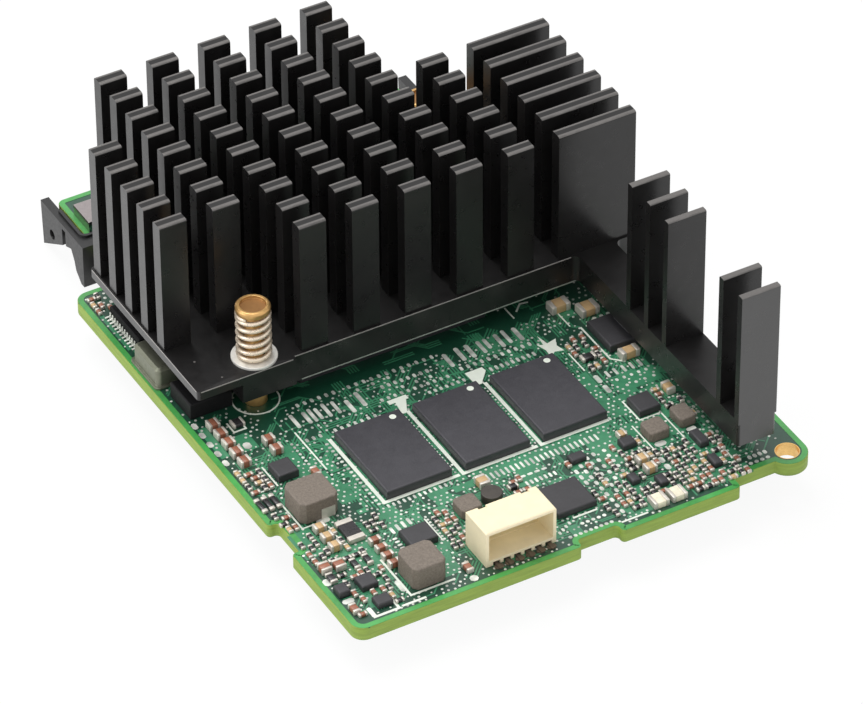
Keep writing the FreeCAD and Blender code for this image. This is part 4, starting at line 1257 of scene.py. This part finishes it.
class CARD_OT_cable_header(bpy.types.Operator):
    """Builds the side-entry cable header with its contacts"""
    bl_idname = "card.cable_header"
    bl_label = "Cable header"

    def execute(self, context):
        bm = node_solids("header_housing")
        refit(bm, HEADER_FIT)
        add_box(bm, *HEADER_STEP)
        shell = new_piece("header_shell", bm, ["header_plastic"],
                          ["header_housing"])
        rounded(shell, sizes().plastic_edge)
        bm = node_solids("header_contacts")
        refit(bm, CONTACT_FIT)
        new_piece("header_contact_strips", bm, ["tarnished_tin"],
                  ["header_contacts"])
        bm = bmesh.new()
        y, width, length_, height = SOLDER_FOOT
        for low, high in solid_boxes("header_contacts"):
            add_pad(bm, (low.x + high.x) / 2, y, width, length_, BOARD_TOP - SUNK,
                    BOARD_TOP + height)
        new_piece("header_solder_feet", bm, ["tarnished_tin"])
        return {"FINISHED"}


class CARD_OT_latches(bpy.types.Operator):
    """Builds the two snap latches beside the rear tongue"""
    bl_idname = "card.latches"
    bl_label = "Latches"

    def execute(self, context):
        for side in ("left", "right"):
            softened("latch_" + side, "snap_latch_" + side, "latch_plastic",
                     sizes().plastic_edge)
        return {"FINISHED"}


class CARD_OT_board_connectors(bpy.types.Operator):
    """Builds the rear socket and the two plugs under the board"""
    bl_idname = "card.board_connectors"
    bl_label = "Board connectors"

    def execute(self, context):
        edge, metal_edge = sizes().plastic_edge, sizes().metal_edge
        softened("rear_connector_body", "rear_socket_body", "connector_plastic",
                 edge)
        softened("rear_connector_shell", "rear_socket_shell", "bright_steel",
                 metal_edge)
        for place in ("host", "drive"):
            softened(place + "_connector_housing", place + "_plug_housing",
                     "connector_plastic", edge)
            softened(place + "_connector_contacts", place + "_plug_contacts", "gold_plating",
                     metal_edge, 1)
        return {"FINISHED"}


SPRING_TURNS = 6.6
DEAD_TURNS = 0.75               # at each end of a spring, lying flat
DEAD_RISE = 0.35                # over these, as a share of the wire's thickness
WIRE_SIDES = 12
STEPS_PER_TURN = 40


def add_coil(bm, centre, bottom, top, wire, radius):
    """Adds a compression coil whose end turns lie flat."""
    rings = []
    for i in range(int(SPRING_TURNS * STEPS_PER_TURN) + 1):
        turn = i / STEPS_PER_TURN
        live = (turn - DEAD_TURNS) / (SPRING_TURNS - 2 * DEAD_TURNS)
        live = min(1.0, max(0.0, live))
        rise = min(turn, DEAD_TURNS) / DEAD_TURNS * wire * DEAD_RISE
        fall = max(0.0, turn - (SPRING_TURNS - DEAD_TURNS)) / DEAD_TURNS * wire * DEAD_RISE
        travel = top - bottom - wire - 2 * DEAD_RISE * wire
        z = bottom + wire / 2 + rise + live * travel + fall
        angle = 2 * math.pi * turn
        ring = []
        for k in range(WIRE_SIDES):
            phi = 2 * math.pi * k / WIRE_SIDES
            reach = radius + wire / 2 * math.cos(phi)
            ring.append(bm.verts.new(at(centre[0] + reach * math.cos(angle),
                                        centre[1] + reach * math.sin(angle),
                                        z + wire / 2 * math.sin(phi))))
        rings.append(ring)
    for a, b in zip(rings, rings[1:]):
        for k in range(WIRE_SIDES):
            j = (k + 1) % WIRE_SIDES
            bm.faces.new((a[k], b[k], b[j], a[j]))
    bm.faces.new(rings[0])
    bm.faces.new(rings[-1][::-1])


class CARD_OT_sprung_screws(bpy.types.Operator):
    """Builds the two screws with their springs, washers, nuts and collars"""
    bl_idname = "card.sprung_screws"
    bl_label = "Sprung screws"

    def execute(self, context):
        edge = sizes().metal_edge
        bm = node_solids("spring_screws")
        bm.normal_update()
        rim_height = board_box("spring_screws")[1].z
        for face in bm.faces:
            height = (face.calc_center_median().z - BOARD_LOW.z) / MM
            # Upward faces inside the rim take the darker brass.
            dished = face.normal.z > 0.9 and rim_height - 1.5 < height < rim_height - 0.05
            face.material_index = 1 if dished else 0
        screws = new_piece("dished_screws", bm, ["turned_brass", "stained_brass"],
                           ["spring_screws"])
        rounded(screws, edge)
        softened("screw_washers", "flat_washers", "white_zinc", edge)
        softened("screw_nuts", "hex_nuts", "bright_steel", edge)
        softened("screw_collars", "board_collars", "turned_brass", edge)
        wire = sizes().spring_wire / MM
        bm = bmesh.new()
        for low, high in solid_boxes("screw_springs"):
            centre = ((low.x + high.x) / 2, (low.y + high.y) / 2)
            add_coil(bm, centre, low.z, high.z, wire, (high.x - low.x - wire) / 2)
        springs = new_piece("coil_springs", bm, ["pale_coil"],
                            ["screw_springs"])
        for polygon in springs.data.polygons:
            polygon.use_smooth = True
        return {"FINISHED"}


def capped_parts(node, name, body, cap_share=0.24):
    """Makes the chip parts of a node, each a body between two metal ends, which stand for it."""
    bm = bmesh.new()
    for low, high in solid_boxes(node):
        add_end_capped(bm, low, high, cap_share, BODY_INSET)
    rounded(new_piece(name, bm, [body, "tinned_ends"], [node]), PART_EDGE)


# Terminals of the large inductor: from its side, width, height, how far out and in they reach.
TERMINAL_INSET, TERMINAL_WIDTH, TERMINAL_HEIGHT = 0.6, 1.6, 1.3
TERMINAL_OUT, TERMINAL_IN = 0.07, 0.1


def add_inductor_terminals(bm, low, high):
    """Adds the two tinned terminals, low on the front and back faces of an inductor."""
    top = BOARD_TOP + TERMINAL_HEIGHT
    near, far = TERMINAL_INSET, TERMINAL_INSET + TERMINAL_WIDTH
    add_box(bm, (high.x - far, low.y - TERMINAL_OUT, BOARD_TOP),
            (high.x - near, low.y + TERMINAL_IN, top))
    add_box(bm, (low.x + near, high.y - TERMINAL_IN, BOARD_TOP),
            (low.x + far, high.y + TERMINAL_OUT, top))


class CARD_OT_passives(bpy.types.Operator):
    """Builds the capacitors, resistors, indicators, small packages and inductors"""
    bl_idname = "card.passives"
    bl_label = "Passive parts"

    def execute(self, context):
        capped_parts("brown_capacitors", "brown_chip_capacitors", "brown_ceramic")
        capped_parts("tan_capacitors", "tan_chip_capacitors", "tan_ceramic")
        capped_parts("chip_resistors", "glazed_chip_resistors", "resistor_glaze",
                     0.2)
        capped_parts("status_leds", "status_indicators", "indicator_lens", 0.22)
        softened("small_packages", "small_package_bodies", "chip_moulding",
                 sizes().chip_edge)
        edge = sizes().plastic_edge
        for node in ("inductor_large", "inductor_tall", "inductor_small_left",
                     "inductor_small_middle", "inductor_small_right"):
            softened(node, node + "_core", "pressed_powder", edge)
        softened("inductor_round", "inductor_round_core", "dark_powder", edge)
        bm = bmesh.new()
        add_inductor_terminals(bm, *board_box("inductor_large"))
        new_piece("inductor_large_terminals", bm, ["tinned_ends"])
        softened("crystal_can", "crystal_metal_can", "satin_nickel",
                 sizes().metal_edge)
        return {"FINISHED"}


# ---------------------------------------------------------------- stage
def add_area_light(name, power, size, place, target):
    """Adds a white rectangular light that faces its target."""
    data = bpy.data.lights.new(name, "AREA")
    data.shape = "RECTANGLE"
    data.size, data.size_y = size
    data.energy = power
    lamp = bpy.data.objects.new(name, data)
    bpy.context.scene.collection.objects.link(lamp)
    lamp.location = place
    aim = Vector(target) - Vector(place)
    lamp.rotation_euler = aim.to_track_quat("-Z", "Y").to_euler()


def seen_white(tree, strength):
    """1 for camera, glossy and transmission rays, so that the ground shows white there."""
    path = tree.nodes.new("ShaderNodeLightPath")
    value = path.outputs["Is Camera Ray"]
    for other in ("Is Glossy Ray", "Is Transmission Ray"):
        highest = tree.nodes.new("ShaderNodeMath")
        highest.operation = "MAXIMUM"
        tree.links.new(value, highest.inputs[0])
        tree.links.new(path.outputs[other], highest.inputs[1])
        value = highest.outputs[0]
    scaled = tree.nodes.new("ShaderNodeMath")
    scaled.operation = "MULTIPLY"
    scaled.inputs[1].default_value = strength
    tree.links.new(value, scaled.inputs[0])
    return scaled.outputs[0]


def make_world():
    """Lights the card evenly from all around, on a ground that shows white."""
    world = bpy.data.worlds.new("white_surround")
    world.use_nodes = True
    tree = world.node_tree
    tree.nodes.clear()
    out = tree.nodes.new("ShaderNodeOutputWorld")
    mix = tree.nodes.new("ShaderNodeMixShader")
    even, white = [tree.nodes.new("ShaderNodeBackground") for _ in range(2)]
    for ground in (even, white):
        ground.inputs["Color"].default_value = (1.0, 1.0, 1.0, 1.0)
    even.inputs["Strength"].default_value = sizes().sky_light
    tree.links.new(seen_white(tree, 1.0), mix.inputs["Fac"])
    tree.links.new(even.outputs[0], mix.inputs[1])
    tree.links.new(white.outputs[0], mix.inputs[2])
    tree.links.new(mix.outputs[0], out.inputs["Surface"])
    bpy.context.scene.world = world


FLOOR_REACH = 3.0
FLOOR_HEIGHT = -0.00001         # metres, just clear of the plugs that stand on it


def make_floor():
    """Lays the pale floor, which takes the card's shadow and shows almost white."""
    bm = bmesh.new()
    bm.faces.new([bm.verts.new((x * FLOOR_REACH, y * FLOOR_REACH, FLOOR_HEIGHT))
                  for x, y in ((-1, -1), (1, -1), (1, 1), (-1, 1))])
    mesh = bpy.data.meshes.new("pale_floor")
    bm.to_mesh(mesh)
    bm.free()
    floor = bpy.data.objects.new("pale_floor", mesh)
    bpy.context.scene.collection.objects.link(floor)
    f = Finish("pale_floor_paint").set(roughness=0.9, specular=0.1)
    f.paint(f.mottled(tuple(colours().floor), 0.01, 3.0))
    glow = f.add("ShaderNodeEmission")
    glow.inputs["Color"].default_value = (1.0, 1.0, 1.0, 1.0)
    mix = f.add("ShaderNodeMixShader")
    f.link(seen_white(f.tree, 0.92), mix.inputs["Fac"])
    f.link(f.shader.outputs[0], mix.inputs[1])
    f.link(glow.outputs[0], mix.inputs[2])
    f.link(mix.outputs[0], f.tree.nodes["Material Output"].inputs["Surface"])
    mesh.materials.append(f.material)


# Where the camera stands, in metres, and which way its own axes point.
CAMERA_PLACE = (-0.25751293, -0.46389936, 0.43057861)
CAMERA_RIGHT = Vector((0.86917825, -0.49446896, -0.00544341))
CAMERA_UP = Vector((0.3139809, 0.54334496, 0.77858349))
CAMERA_BACK = Vector((-0.38202771, -0.67843696, 0.62751743))


class CARD_OT_stage(bpy.types.Operator):
    """Sets the floor, the soft studio light and the camera"""
    bl_idname = "card.stage"
    bl_label = "Stage"

    def execute(self, context):
        scene = context.scene
        scene.view_settings.view_transform = "Standard"
        make_world()
        make_floor()
        middle = (0.0, 0.0, 0.01)
        add_area_light("overhead_light", sizes().key_light, (0.30, 0.30), (-0.05, 0.15, 0.45),
                       middle)
        add_area_light("left_light", sizes().side_light, (0.20, 0.30), (-0.42, 0.05, 0.20),
                       middle)
        camera_data = bpy.data.cameras.new("studio_camera")
        camera_data.sensor_width = 36.0
        camera_data.lens = sizes().lens
        camera_data.clip_start = 0.05
        camera_data.clip_end = 10.0
        camera = bpy.data.objects.new("studio_camera", camera_data)
        scene.collection.objects.link(camera)
        turn = Matrix((CAMERA_RIGHT, CAMERA_UP, CAMERA_BACK)).transposed()
        camera.matrix_world = Matrix.Translation(CAMERA_PLACE) @ turn.to_4x4()
        scene.camera = camera
        return {"FINISHED"}


OPERATORS = (CARD_OT_stage, CARD_OT_circuit_board, CARD_OT_board_copper, CARD_OT_board_legend,
             CARD_OT_plated_hole, CARD_OT_heat_sink, CARD_OT_sprung_screws,
             CARD_OT_chips, CARD_OT_cable_header, CARD_OT_latches, CARD_OT_board_connectors,
             CARD_OT_passives)


class CARD_PT_panel(bpy.types.Panel):
    """Lists the card's colours, sizes and pieces"""
    bl_idname = "CARD_PT_panel"
    bl_label = "Controller Card"
    bl_space_type = "VIEW_3D"
    bl_region_type = "UI"
    bl_category = "Controller Card"

    def draw(self, context):
        layout = self.layout
        for group in (context.scene.card_colours, context.scene.card_sizes):
            column = layout.column(align=True)
            for key in group.__annotations__:
                column.prop(group, key)
        column = layout.column(align=True)
        for operator in OPERATORS:
            column.operator(operator.bl_idname)


CLASSES = (CardColours, CardSizes) + OPERATORS + (CARD_PT_panel,)


def register():
    for cls in CLASSES:
        bpy.utils.register_class(cls)
    bpy.types.Scene.card_colours = PointerProperty(type=CardColours)
    bpy.types.Scene.card_sizes = PointerProperty(type=CardSizes)


def unregister():
    del bpy.types.Scene.card_sizes
    del bpy.types.Scene.card_colours
    for cls in reversed(CLASSES):
        bpy.utils.unregister_class(cls)


def main():
    register()
    for operator in OPERATORS:
        group, name = operator.bl_idname.split(".")
        getattr(getattr(bpy.ops, group), name)()


if __name__ == "__main__":
    main()
